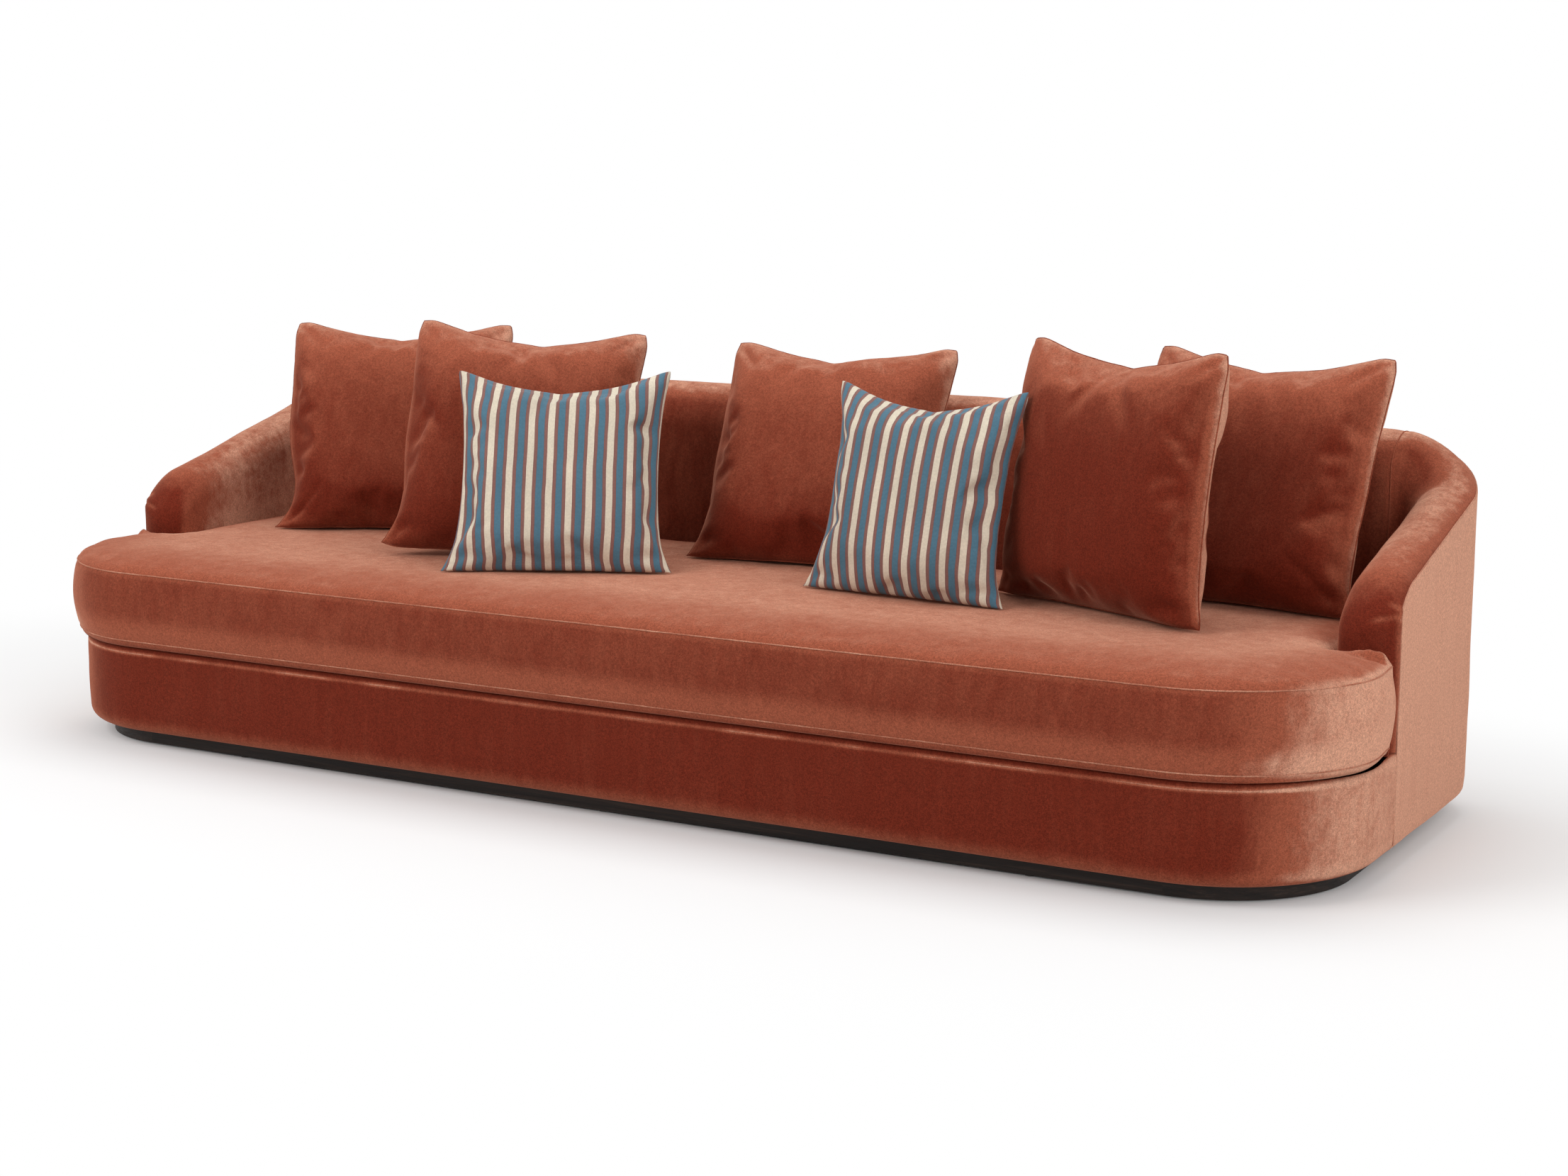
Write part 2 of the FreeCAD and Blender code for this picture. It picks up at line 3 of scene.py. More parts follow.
import bmesh
import bpy
from bpy.props import FloatProperty, FloatVectorProperty, IntProperty, PointerProperty
from mathutils import Euler, Matrix, Vector, noise


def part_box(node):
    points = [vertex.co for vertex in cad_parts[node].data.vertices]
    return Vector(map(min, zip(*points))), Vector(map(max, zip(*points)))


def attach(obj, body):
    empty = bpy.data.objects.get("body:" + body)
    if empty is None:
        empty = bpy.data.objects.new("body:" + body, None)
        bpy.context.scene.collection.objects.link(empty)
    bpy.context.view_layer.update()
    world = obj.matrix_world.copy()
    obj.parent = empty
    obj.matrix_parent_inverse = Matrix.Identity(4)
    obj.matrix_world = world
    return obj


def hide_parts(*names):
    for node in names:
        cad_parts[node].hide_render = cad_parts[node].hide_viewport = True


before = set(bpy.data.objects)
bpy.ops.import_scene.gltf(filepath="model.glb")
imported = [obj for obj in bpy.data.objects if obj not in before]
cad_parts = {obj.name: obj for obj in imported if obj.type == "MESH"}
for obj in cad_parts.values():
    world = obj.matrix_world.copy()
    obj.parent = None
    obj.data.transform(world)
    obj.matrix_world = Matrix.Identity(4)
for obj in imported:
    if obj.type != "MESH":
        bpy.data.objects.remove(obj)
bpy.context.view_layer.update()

bl_info = {
    "name": "Straight sofa dresser",
    "version": (1, 0, 0),
    "blender": (4, 5, 0),
    "location": "View3D > Sidebar > Sofa",
    "description": "Dresses the sofa's frame with velvet covers, cushions and stained wood",
    "category": "Object",
}

# Each loose cushion: its kind, the middle of its foot in plan, lean back, turn and roll in degrees,
# and the share by which its lower sides draw in above the corners
LOOSE_CUSHIONS = {
    "left_rear_cushion": ("velvet", (-0.965, 0.192), 26.0, 23.5, 0.0, 0.13),
    "left_front_cushion": ("velvet", (-0.483, -0.012), 23.0, 18.0, -3.0, 0.08),
    "left_striped_cushion": ("wide striped", (-0.301, -0.115), 25.0, 27.0, 0.0, 0.0),
    "centre_cushion": ("velvet", (0.116, 0.246), 29.0, 5.0, 0.0, 0.06),
    "right_striped_cushion": ("striped", (0.487, -0.058), 16.0, -5.0, 0.0, 0.0),
    "right_front_cushion": ("velvet", (0.875, -0.028), 8.5, -23.0, 0.0, 0.0),
    "right_rear_cushion": ("velvet", (1.060, 0.208), 20.5, -9.0, 0.0, 0.03),
}

# Form of each kind of cushion: hollow of its sides, round of its corners, fullness,
# spread of its lower corners and how suddenly they spread
CUSHION_FORMS = {
    "velvet": (0.004, 0.036, 0.39, 0.046, 9),
    "striped": (0.016, 0.016, 0.42, 0.020, 5),
    "wide striped": (0.016, 0.016, 0.42, 0.020, 5),
}

# Each velvet: its lightness, how closely its streaks lie along each axis, its sheen and its unevenness.
# The covers' lightness is painted light as well as the pile's lie: the outside panel is made pale and the
# border dark for the way each faces the lamps and the view; the seams are pale where the pile parts.
SEAM_STREAKS = (20.0, 20.0, 20.0)
VELVETS = {
    "velvet_inside": (0.22, (30.0, 30.0, 8.0), 0.5, 0.85),
    "velvet_outside": (0.97, (60.0, 60.0, 3.0), 0.5, 0.8),
    "velvet_border": (0.04, (40.0, 40.0, 6.0), 0.3, 0.5),
    "velvet_bench": (0.20, (34.0, 34.0, 12.0), 0.4, 0.45),
    "velvet_cushion": (0.04, (30.0, 30.0, 9.0), 0.4, 0.5),
    "velvet_inside_seam": (0.50, SEAM_STREAKS, 0.3, 1.0),
    "velvet_outside_seam": (0.80, SEAM_STREAKS, 0.4, 1.0),
    "velvet_seam": (0.72, SEAM_STREAKS, 0.4, 1.0),
    "velvet_piping": (0.30, SEAM_STREAKS, 0.3, 1.0),
}

# The velvet of each cover that is laid along the cuts
COVER_VELVETS = {
    "inside_cover": "velvet_inside",
    "outside_panel": "velvet_outside",
    "border_band": "velvet_border",
}

# Points along the bench cushion: rows before and beside the arms, and levels of its boxing
BENCH_FRONT_ROWS = 30
BENCH_REAR_ROWS = 42
BENCH_LEVELS = 12

# How the cushions' cloth behaves while it is filled
CLOTH = {
    "quality": 4, "mass": 0.3, "tension_stiffness": 18.0, "compression_stiffness": 14.0,
    "shear_stiffness": 6.0, "bending_stiffness": 0.25, "air_damping": 3.0,
    "vertex_group_shrink": "loose", "shrink_min": 0.0, "shrink_max": -0.075,
    "use_pressure": True, "uniform_pressure_force": 3.0,
}
CLOTH_FRAMES = 20
WHITE = (1.0, 1.0, 1.0, 1.0)


def length(name, default, description):
    """A size in metres that a user can change."""
    return FloatProperty(name=name, description=description, default=default, unit="LENGTH", precision=4)


def colour(name, default, description):
    """A colour that a user can change."""
    return FloatVectorProperty(name=name, description=description, default=default,
                               subtype="COLOR", size=3, min=0.0, max=1.0)


class SofaSizes(bpy.types.PropertyGroup):
    """Sizes of the sofa's soft pieces."""

    half_width: length("Half width", 1.450, "From the middle to the outside of an arm")
    front: length("Front", -0.4785, "Place of the border's front face")
    rear: length("Rear", 0.5065, "Place of the back's rear face")
    front_corner: length("Front corner radius", 0.298, "Round corner of the border in plan")
    rear_corner: length("Rear corner radius", 0.165, "Round rear corner in plan")
    underside: length("Underside", 0.034, "Height of the covers' lowest edge")
    lower_edge: length("Lower edge radius", 0.026, "Round lower edge of the covers")
    under_turn: length("Under turn", 0.046, "How far the covers turn under the base")
    border_top: length("Border top", 0.220, "Height of the border round the seat")
    border_edge: length("Border edge radius", 0.009, "Round upper edge of the border")
    arm_front: length("Arm seam", -0.0935, "Place of the seam at the front of an arm")
    arm_thickness: length("Arm thickness", 0.110, "Thickness of an arm")
    arm_ridge: length("Arm ridge inset", 0.048, "From the outside of an arm to its ridge")
    back_thickness: length("Back thickness", 0.150, "Thickness of the back")
    back_ridge: length("Back ridge inset", 0.062, "From the rear of the back to its ridge")
    nose_reach: length("Arm nose reach", 0.036, "How far the round front of an arm stands before its seam")
    nose_round: length("Arm nose round", 0.094, "Length over which the top of an arm bends down to its front")
    nose_drop: length("Arm nose drop", 0.078, "How far the top falls over that length")
    ridge_arm_front: length("Ridge at arm front", 0.519, "Height of the arm at its front seam")
    ridge_arm_rear: length("Ridge at arm rear", 0.635, "Height of the arm where the corner begins")
    ridge_back_end: length("Ridge at back end", 0.722, "Height of the back at the end of the corner")
    ridge_back_middle: length("Ridge at back middle", 0.742, "Height of the back along its level middle")
    back_level: length("Level half length", 0.500, "Half the level length of the back")
    seat_rest: length("Seat rest", 0.2203, "Height of the underside of the bench cushion")
    bench_overhang: length("Bench overhang", 0.015, "Bench seam in front of the border")
    bench_bulge: length("Bench bulge", 0.013, "How far the bench boxing swells out")
    bench_lower_seam: length("Bench lower seam", 0.236, "Height of the lower seam")
    bench_upper_seam: length("Bench upper seam", 0.380, "Height of the upper seam")
    bench_crown: length("Bench crown", 0.412, "Height of the middle of the seat")
    bench_gap: length("Bench gap", 0.005, "Gap between the bench cushion and the arms")
    velvet_size: length("Velvet cushion", 0.510, "Side of a velvet cushion")
    velvet_plump: length("Velvet plumpness", 0.164, "Thickness of a velvet cushion")
    striped_size: length("Striped cushion", 0.420, "Side of a striped cushion")
    wide_striped: length("Wide striped cushion", 0.440, "Side of the wider striped cushion")
    striped_plump: length("Striped plumpness", 0.116, "Thickness of a striped cushion")
    top_dent: length("Top dent", 0.040, "How deep a cushion's top edge is dented")
    grid: length("Cover grid", 0.012, "Spacing of the points of a cover")
    cushion_points: IntProperty(name="Cushion points", description="Points along a cushion's side",
                                default=50, min=12, max=80)


class SofaColours(bpy.types.PropertyGroup):
    """Colours of the sofa's finishes."""

    # Velvet tones: the middle and pale colours stand partly for the pile's own lie and partly for painted
    # sheen and light on surfaces turned up or sideways
    velvet_deep: colour("Velvet, deep", (0.135, 0.0185, 0.0085), "Pile seen face on")
    velvet_mid: colour("Velvet, middle", (0.285, 0.075, 0.040), "Pile brushed flat")
    velvet_pale_and_painted_sheen: colour("Velvet, pale", (0.56, 0.285, 0.19), "Pile brushed up, at edges and folds")
    velvet_sheen: colour("Velvet, sheen", (1.0, 0.50, 0.34), "Light caught by the tips of the pile")
    stripe_blue: colour("Stripe, blue", (0.050, 0.140, 0.205), "Wide stripe")
    stripe_red: colour("Stripe, red brown", (0.200, 0.082, 0.070), "Narrow stripe")
    stripe_cream: colour("Stripe, cream", (0.64, 0.56, 0.44), "Pale stripe")
    stripe_line: colour("Stripe, line", (0.10, 0.055, 0.055), "Thin dark line beside the stripes")
    plinth_dark: colour("Plinth, dark", (0.012, 0.009, 0.008), "Stain in the grain")
    plinth_light: colour("Plinth, light", (0.05, 0.034, 0.027), "Stain between the grain")


def sizes():
    return bpy.context.scene.sofa_sizes


def colours():
    return bpy.context.scene.sofa_colours


# Materials

class Tree:
    """A node tree under construction, with short ways to add and join its nodes."""

    def __init__(self, tree):
        self.tree = tree

    def add(self, kind, inputs=None, **settings):
        """A new node with its settings, its inputs fed with values, outputs or other nodes."""
        node = self.tree.nodes.new(kind)
        for key, value in settings.items():
            setattr(node, key, value)
        for key, value in (inputs or {}).items():
            self.feed(value, node.inputs[key])
        return node

    def feed(self, source, socket):
        """Give a socket a value, an output or a node's first output."""
        if isinstance(source, bpy.types.Node):
            source = source.outputs[0]
        if isinstance(source, bpy.types.NodeSocket):
            self.tree.links.new(source, socket)
        else:
            socket.default_value = source


class Finish(Tree):
    """A material under construction."""

    def __init__(self, name):
        self.material = bpy.data.materials.new(name)
        self.material.use_nodes = True
        super().__init__(self.material.node_tree)
        self.shader = self.tree.nodes["Principled BSDF"]
        self.place = self.add("ShaderNodeTexCoord").outputs["Object"]

    def stretched(self, scale):
        """Object coordinates, scaled."""
        return self.add("ShaderNodeMapping", {"Vector": self.place, "Scale": scale})

    def speckle(self, vector, scale, detail=2.0, roughness=0.5, distortion=0.0):
        return self.add("ShaderNodeTexNoise", {"Vector": vector, "Scale": scale, "Detail": detail,
                                               "Roughness": roughness, "Distortion": distortion})

    def spread(self, value, low, high, to_low=0.0, to_high=1.0):
        """A value spread smoothly from one range to another."""
        ends = {"Value": value, "From Min": low, "From Max": high, "To Min": to_low, "To Max": to_high}
        return self.add("ShaderNodeMapRange", ends, interpolation_type="SMOOTHSTEP")

    def sums(self, operation, first, second):
        return self.add("ShaderNodeMath", {0: first, 1: second}, operation=operation)

    def mixed(self, share, first, second, blend="MIX"):
        """Two colours mixed; each is a plain colour, an output or a node."""
        sources = (bpy.types.Node, bpy.types.NodeSocket)
        first, second = (shade if isinstance(shade, sources) else (*shade, 1.0) for shade in (first, second))
        node = self.add("ShaderNodeMix", {0: share, 6: first, 7: second}, data_type="RGBA", blend_type=blend)
        return node.outputs[2]

    def bumped(self, height, strength, distance):
        bump = self.add("ShaderNodeBump", {"Height": height, "Strength": strength, "Distance": distance})
        self.feed(bump, self.shader.inputs["Normal"])

    def done(self, base, roughness, **sockets):
        """Feed the shader and return the material."""
        for name, value in {"base_color": base, "roughness": roughness, **sockets}.items():
            socket = name.replace("_", " ").title().replace("Ior", "IOR")
            self.feed(value, self.shader.inputs[socket])
        return self.material


def velvet(name):
    """Mohair velvet: pile in soft patches and streaks, paler where its point attribute says so: pile parted
    at seams and darts, and painted sheen, light and shade.
    """
    known = bpy.data.materials.get(name)
    if known:
        return known
    lightness, streaks, sheen, uneven = VELVETS[name]
    finish = Finish(name)
    tint = colours()
    patch, stroke = 0.06 * uneven, 0.09 * uneven
    patches = finish.spread(finish.speckle(finish.place, 5.0, 3.0, 0.55, 0.4), 0.25, 0.75, -patch, patch)
    laid = finish.speckle(finish.stretched(streaks), 1.0, 4.0, 0.65, 0.3)
    strokes = finish.spread(laid, 0.25, 0.75, -stroke, stroke)
    broken = finish.spread(finish.speckle(finish.place, 48.0, 4.0, 0.65), 0.25, 0.75, 1 - 0.35 * uneven, 1.0)
    # Painted sheen, light and shade: the point attribute lifts the tone towards the pale colour by the way
    # each surface faces; only at seams and darts is it the pile's own
    nap_and_painted_light = finish.add("ShaderNodeAttribute", attribute_name="nap_and_painted_light").outputs["Fac"]
    lift = finish.sums("MULTIPLY", nap_and_painted_light, broken)
    tone = finish.sums("ADD", finish.sums("ADD", patches, strokes), finish.sums("ADD", lift, lightness))
    base = finish.mixed(finish.spread(tone, 0.0, 0.5), tint.velvet_deep, tint.velvet_mid)
    base = finish.mixed(finish.spread(tone, 0.5, 1.0), base, tint.velvet_pale_and_painted_sheen)
    fibres = finish.speckle(finish.place, 560.0, 2.0, 0.7)
    base = finish.mixed(1.0, base, finish.spread(fibres, 0.28, 0.72, 0.74, 1.28), "MULTIPLY")
    tufts = finish.speckle(finish.place, 210.0, 2.0, 0.6)
    base = finish.mixed(1.0, base, finish.spread(tufts, 0.3, 0.7, 0.86, 1.14), "MULTIPLY")
    finish.bumped(finish.sums("ADD", fibres, finish.sums("MULTIPLY", tufts, 1.0)), 0.3, 0.0014)
    return finish.done(base, 0.95, sheen_weight=sheen, sheen_roughness=0.38,
                       sheen_tint=(*tint.velvet_sheen, 1.0), specular_ior_level=0.06)


def striped_cloth(name, repeats):
    """Woven cloth with upright stripes, laid out on the cushion's own map."""
    finish = Finish(name)
    tint = colours()
    laid = finish.add("ShaderNodeUVMap", uv_map="panel")
    across = finish.add("ShaderNodeSeparateXYZ", {"Vector": laid})
    wander = finish.sums("MULTIPLY", finish.sums("SUBTRACT", finish.speckle(finish.place, 9.0), 0.5), 0.005)
    along = finish.sums("MULTIPLY", finish.sums("ADD", across, wander), repeats)
    phase = finish.sums("FRACT", along, 0.0)
    ramp = finish.add("ShaderNodeValToRGB", {"Fac": phase})
    ramp.color_ramp.interpolation = "CONSTANT"
    bands = ((0.0, tint.stripe_blue), (0.318, tint.stripe_line), (0.330, tint.stripe_red),
             (0.486, tint.stripe_line), (0.496, tint.stripe_cream), (0.824, tint.stripe_line),
             (0.834, tint.stripe_red), (0.988, tint.stripe_line))
    points = ramp.color_ramp.elements
    points.remove(points[1])
    points[0].color = (*bands[0][1], 1.0)
    for start, shade in bands[1:]:
        points.new(start).color = (*shade, 1.0)
    threads = []
    for direction, count in (("X", 190.0), ("Y", 85.0)):
        yarn = {"Vector": laid, "Scale": count, "Distortion": 1.2, "Detail": 1.0}
        wave = finish.add("ShaderNodeTexWave", yarn, wave_type="BANDS", bands_direction=direction)
        threads.append(wave.outputs["Fac"])
    weave = finish.sums("MULTIPLY", *threads)
    slub = finish.speckle(finish.place, 260.0, 3.0, 0.6)
    worn = finish.spread(finish.speckle(finish.place, 12.0, 3.0), 0.3, 0.75, 0.92, 1.06)
    base = finish.mixed(1.0, ramp, worn, "MULTIPLY")
    base = finish.mixed(1.0, base, finish.spread(slub, 0.28, 0.72, 0.92, 1.07), "MULTIPLY")
    base = finish.mixed(finish.sums("MULTIPLY", weave, 0.12), base, tint.stripe_cream)
    finish.bumped(finish.sums("ADD", weave, slub), 0.4, 0.0012)
    return finish.done(base, 0.85, sheen_weight=0.15, sheen_roughness=0.5, specular_ior_level=0.2)


def stained_wood(name, grain_scale):
    """Dark stained wood, its grain along the length of the piece."""
    finish = Finish(name)
    tint = colours()
    lines = finish.speckle(finish.stretched(grain_scale), 1.0, 5.0, 0.65, 0.5)
    pores = finish.speckle(finish.stretched(tuple(4 * value for value in grain_scale)), 1.0, 2.0, 0.6)
    base = finish.mixed(finish.spread(lines, 0.32, 0.7), tint.plinth_dark, tint.plinth_light)
    base = finish.mixed(finish.spread(pores, 0.5, 0.62, 0.55, 0.0), base, tint.plinth_dark)
    finish.bumped(finish.sums("ADD", lines, finish.sums("MULTIPLY", pores, 0.6)), 0.25, 0.0012)
    return finish.done(base, finish.spread(pores, 0.3, 0.7, 0.45, 0.65), specular_ior_level=0.22)


def plain_wood(name, deep, pale, grain_scale):
    """Unfinished timber or board of the inner frame."""
    finish = Finish(name)
    lines = finish.speckle(finish.stretched(grain_scale), 1.0, 5.0, 0.6, 0.8)
    fleck = finish.speckle(finish.place, 180.0, 2.0)
    base = finish.mixed(finish.spread(lines, 0.3, 0.7), deep, pale)
    base = finish.mixed(1.0, base, finish.spread(fleck, 0.3, 0.7, 0.85, 1.1), "MULTIPLY")
    finish.bumped(finish.sums("ADD", lines, fleck), 0.2, 0.001)
    return finish.done(base, 0.75, specular_ior_level=0.3)


def coarse_cloth(name, deep, pale, thread_scale):
    """Felt, webbing or non-woven cloth: short threads across each other."""
    finish = Finish(name)
    across = finish.speckle(finish.stretched((thread_scale, thread_scale * 0.12, thread_scale)), 1.0, 3.0)
    along = finish.speckle(finish.stretched((thread_scale * 0.12, thread_scale, thread_scale)), 1.0, 3.0)
    threads = finish.sums("MAXIMUM", across, along)
    base = finish.mixed(finish.spread(threads, 0.45, 0.75), deep, pale)
    finish.bumped(threads, 0.35, 0.001)
    return finish.done(base, 0.9, sheen_weight=0.2, specular_ior_level=0.15)


# Meshes

def placed(name, data):
    """A new object in the scene."""
    item = bpy.data.objects.new(name, data)
    bpy.context.scene.collection.objects.link(item)
    return item


def smoothed(mesh):
    mesh.polygons.foreach_set("use_smooth", [True] * len(mesh.polygons))
    mesh.update()


def new_piece(name, points, faces, material):
    """A mesh object at the origin, smooth shaded."""
    mesh = bpy.data.meshes.new(name)
    mesh.from_pydata([tuple(point) for point in points], [], faces)
    mesh.materials.append(material)
    smoothed(mesh)
    return placed(name, mesh)


def made_plain(piece, modifier, name):
    """Replace a piece's mesh by what its modifier makes of it."""
    evaluated = piece.evaluated_get(bpy.context.evaluated_depsgraph_get())
    mesh = bpy.data.meshes.new_from_object(evaluated)
    piece.modifiers.remove(modifier)
    before = piece.data
    piece.data = mesh
    bpy.data.meshes.remove(before)
    mesh.name = name
    smoothed(mesh)
    return mesh


def settled(piece, body, slot, *nodes, fill=None):
    """Tell the frame what the piece rides on and stands for."""
    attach(piece, body)
    if nodes:
        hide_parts(*nodes)


def grid_faces(rows, columns):
    faces = []
    for row in range(rows - 1):
        for column in range(columns - 1):
            start = row * columns + column
            faces.append((start, start + 1, start + columns + 1, start + columns))
    return faces


def tidy(piece, outward=None):
    """Merge doubled points and turn the faces outwards."""
    work = bmesh.new()
    work.from_mesh(piece.data)
    bmesh.ops.remove_doubles(work, verts=work.verts, dist=0.00005)
    bmesh.ops.dissolve_degenerate(work, edges=work.edges, dist=0.00002)
    bmesh.ops.recalc_face_normals(work, faces=work.faces)
    if outward is not None:
        probe = max(work.faces, key=lambda face: face.calc_center_median().dot(outward))
        if probe.normal.dot(outward) < 0:
            bmesh.ops.reverse_faces(work, faces=work.faces)
    work.to_mesh(piece.data)
    work.free()
    piece.data.update()


def swept(name, rows, outward):
    """A velvet cover through rows of points, its faces turned outward."""
    points = [point for row in rows for point in row]
    piece = new_piece(name, points, grid_faces(len(rows), len(rows[0])), velvet(COVER_VELVETS[name]))
    tidy(piece, Vector(outward))
    return piece


def mirrored(point):
    """The same place on the other side of the sofa."""
    return Vector((-point.x, point.y, point.z))


def set_nap_and_painted_light(piece, shares):
    """Say point by point how much paler the velvet is: pile parted at seams, and painted sheen, light and
    shade.
    """
    layer = piece.data.attributes.new("nap_and_painted_light", "FLOAT", "POINT")
    layer.data.foreach_set("value", shares)


def ripple(point, scale, amount, seed=0.0):
    """Slow unevenness of stuffed cloth."""
    return amount * noise.noise(Vector((point[0] * scale + seed, point[1] * scale - seed, point[2] * scale)))


def steps_between(start, end, spacing):
    count = max(2, round(abs(end - start) / spacing))
    return [start + (end - start) * index / count for index in range(count + 1)]


def blend_step(value, low, high):
    """Rises smoothly from 0 at low to 1 at high."""
    share = min(1.0, max(0.0, (value - low) / (high - low)))
    return share * share * (3 - 2 * share)


def corner_inset(over, radius):
    """How far a round corner has turned in at a place that lies over its beginning."""
    if over <= 0:
        return 0.0
    return radius - math.sqrt(max(0.0, radius ** 2 - over ** 2))


# Back and arms

class Cut:
    """A cut across the back or an arm, as in the frame: depth goes inwards from the outside face."""

    def __init__(self, outer, inward, thickness, ridge_inset, ridge):
        self.outer = Vector((*outer, 0.0))
        self.inward = Vector((*inward, 0.0))
        self.thickness = thickness
        self.ridge_inset = ridge_inset
        self.roll = thickness - ridge_inset
        self.roll_height = ridge - self.roll

    def point(self, depth, height):
        place = self.outer + self.inward * depth
        place.z = height
        return place

    def seam(self):
        """Height where the rolled top meets the outside face."""
        return self.roll_height + math.sqrt(self.roll ** 2 - self.ridge_inset ** 2)

    def rolled(self, columns, side=0.0):
        """Points over the rolled top, from the outside to the inside, drawn in by side."""
        roll = self.roll - side
        reach = max(-1.0, min(1.0, (self.ridge_inset - side) / max(roll, 1e-6)))
        widest = math.pi - math.acos(reach)
        points = []
        for column in range(columns):
            angle = widest * (1 - column / (columns - 1))
            points.append((self.ridge_inset + roll * math.cos(angle),
                           self.roll_height + roll * math.sin(angle)))
        return points


def arm_slope():
    size = sizes()
    return (size.ridge_arm_rear - size.ridge_arm_front) / (size.rear - size.rear_corner - size.arm_front)


def front_fall(y):
    """How far the rolled top of an arm has fallen where it bends over to the front."""
    size = sizes()
    ahead = 1 - min(1.0, max(0.0, (y - size.arm_front + size.nose_reach) / size.nose_round))
    return size.nose_drop * (1 - (1 - ahead ** 1.6) ** 0.625)


def arm_cut(y):
    size = sizes()
    return Cut((size.half_width, y), (-1.0, 0.0), size.arm_thickness, size.arm_ridge,
               size.ridge_arm_front + arm_slope() * (y - size.arm_front) - front_fall(y))


def corner_ridge(share):
    """Height of the ridge in the rear corner: it leaves at the arm's slope and arrives at the back's."""
    size = sizes()
    run = size.rear_corner * math.pi / 2
    fall = size.half_width - size.rear_corner - size.back_level
    back_slope = 2 * (size.ridge_back_middle - size.ridge_back_end) / fall
    rest = 1 - share
    return (size.ridge_arm_rear * rest ** 2 * (1 + 2 * share)
            + size.ridge_back_end * share ** 2 * (1 + 2 * rest)
            + arm_slope() * run * share * rest ** 2 - back_slope * run * share ** 2 * rest)


def corner_cut(share):
    size = sizes()
    turn = math.pi / 2 * share
    out = Vector((math.cos(turn), math.sin(turn)))
    centre = Vector((size.half_width - size.rear_corner, size.rear - size.rear_corner))
    return Cut(centre + out * size.rear_corner, -out,
               size.arm_thickness + (size.back_thickness - size.arm_thickness) * share,
               size.arm_ridge + (size.back_ridge - size.arm_ridge) * share,
               corner_ridge(share))


def back_cut(x):
    size = sizes()
    end = size.half_width - size.rear_corner
    share = max(0.0, (abs(x) - size.back_level) / (end - size.back_level))
    ridge = size.ridge_back_middle - (size.ridge_back_middle - size.ridge_back_end) * share ** 2
    return Cut((x, size.rear), (0.0, -1.0), size.back_thickness, size.back_ridge, ridge)


def half_run():
    """The cuts from the right arm's seam to the middle of the back."""
    size = sizes()
    bend = size.arm_front + size.nose_round - size.nose_reach
    cuts = [arm_cut(y) for y in steps_between(size.arm_front, bend, size.grid / 3)]
    cuts += [arm_cut(y) for y in steps_between(bend, size.rear - size.rear_corner, size.grid)[1:]]
    cuts += [corner_cut(share) for share in steps_between(0.0, 1.0, 0.06)[1:]]
    cuts += [back_cut(x) for x in steps_between(size.half_width - size.rear_corner, 0.0, size.grid)[1:]]
    return cuts


def both_sides(rows):
    """Rows of points from the right end to the middle, carried on to the left end."""
    return rows + [[mirrored(point) for point in row] for row in reversed(rows[:-1])]


def fold_share(place, start, end, width):
    """How much a point belongs to a fold that runs out from start to end."""
    along = Vector(end) - Vector(start)
    offset = Vector(place) - Vector(start)
    share = offset.dot(along) / along.length_squared
    away = (offset - along * min(1.0, max(0.0, share))).length
    return math.exp(-(away / width) ** 2) * blend_step(share, 1.0, 0.3)


def inside_rows():
    """Rows of the velvet that covers the nose, the rolled top and the inner side."""
    size = sizes()
    wall, arc, inner = 28, 28, 20
    rows = []
    radius = size.arm_thickness / 2
    for angle in range(90, 0, -6):
        turn = math.radians(angle)
        side = radius * (1 - math.cos(turn))
        cut = arm_cut(size.arm_front - size.nose_reach * math.sin(turn))
        cut.roll_height += side
        top = cut.rolled(arc, side)
        low = size.seat_rest
        outer = [(side, low + (top[0][1] - low) * step / wall) for step in range(wall)]
        inside = [(size.arm_thickness - side, top[-1][1] + (low - top[-1][1]) * step / inner)
                  for step in range(1, inner + 1)]
        rows.append([cut.point(*place) for place in outer + top + inside])
    tuck, tuck_height = 0.005, 0.014
    for cut in half_run():
        top = cut.rolled(arc)
        seam = cut.seam()
        outer = [(tuck, seam - tuck_height * (1 - step / wall)) for step in range(wall)]
        inside = [(cut.thickness, top[-1][1] + (size.seat_rest - top[-1][1]) * step / inner)
                  for step in range(1, inner + 1)]
        rows.append([cut.point(*place) for place in outer + top + inside])
    return both_sides(rows)


def nose_darts():
    """Start and end of the two short darts at the front of the right arm, by the end of its seam."""
    size = sizes()
    x, y, z = size.half_width, size.arm_front, arm_cut(size.arm_front).seam()
    return [((x - 0.001, y - 0.004, z + 0.005), (x - 0.056, y - 0.022, z + 0.030)),
            ((x - 0.001, y - 0.006, z - 0.012), (x - 0.056, y - 0.036, z - 0.018))]


def inside_nap_and_painted_light(place, normal, drawn):
    """How much paler the inside cover is: pile parted in the darts, painted sheen and light on the tops,
    inner sides and shaded corners, painted shade on the arms' fronts.
    """
    across = abs(place.x)
    # Painted sheen on the tops; painted light lifting the shaded rear corners, the arms' inner sides and the
    # low inner walls; painted shade on the arms' front faces
    top = 0.70 * blend_step(normal.z, 0.55, 0.98) * (0.55 + 0.45 * blend_step(place.y, -0.1, 0.3))
    corner = blend_step(across, 1.22, 1.34) * blend_step(place.y, 0.20, 0.36) * blend_step(normal.z, 0.9, 0.4)
    arm = blend_step(-normal.x * place.x, 0.3, 1.3) * blend_step(place.y, -0.15, 0.08)
    low = blend_step(place.z, 0.47, 0.40) * blend_step(abs(normal.x), 0.7, 0.9)
    front = blend_step(-normal.y, 0.2, 0.8) * blend_step(across, 1.28, 1.32)
    return min(1.0, top + 0.9 * min(1.0, drawn) + 0.25 * corner + 0.62 * arm + 0.2 * low - 0.22 * front)


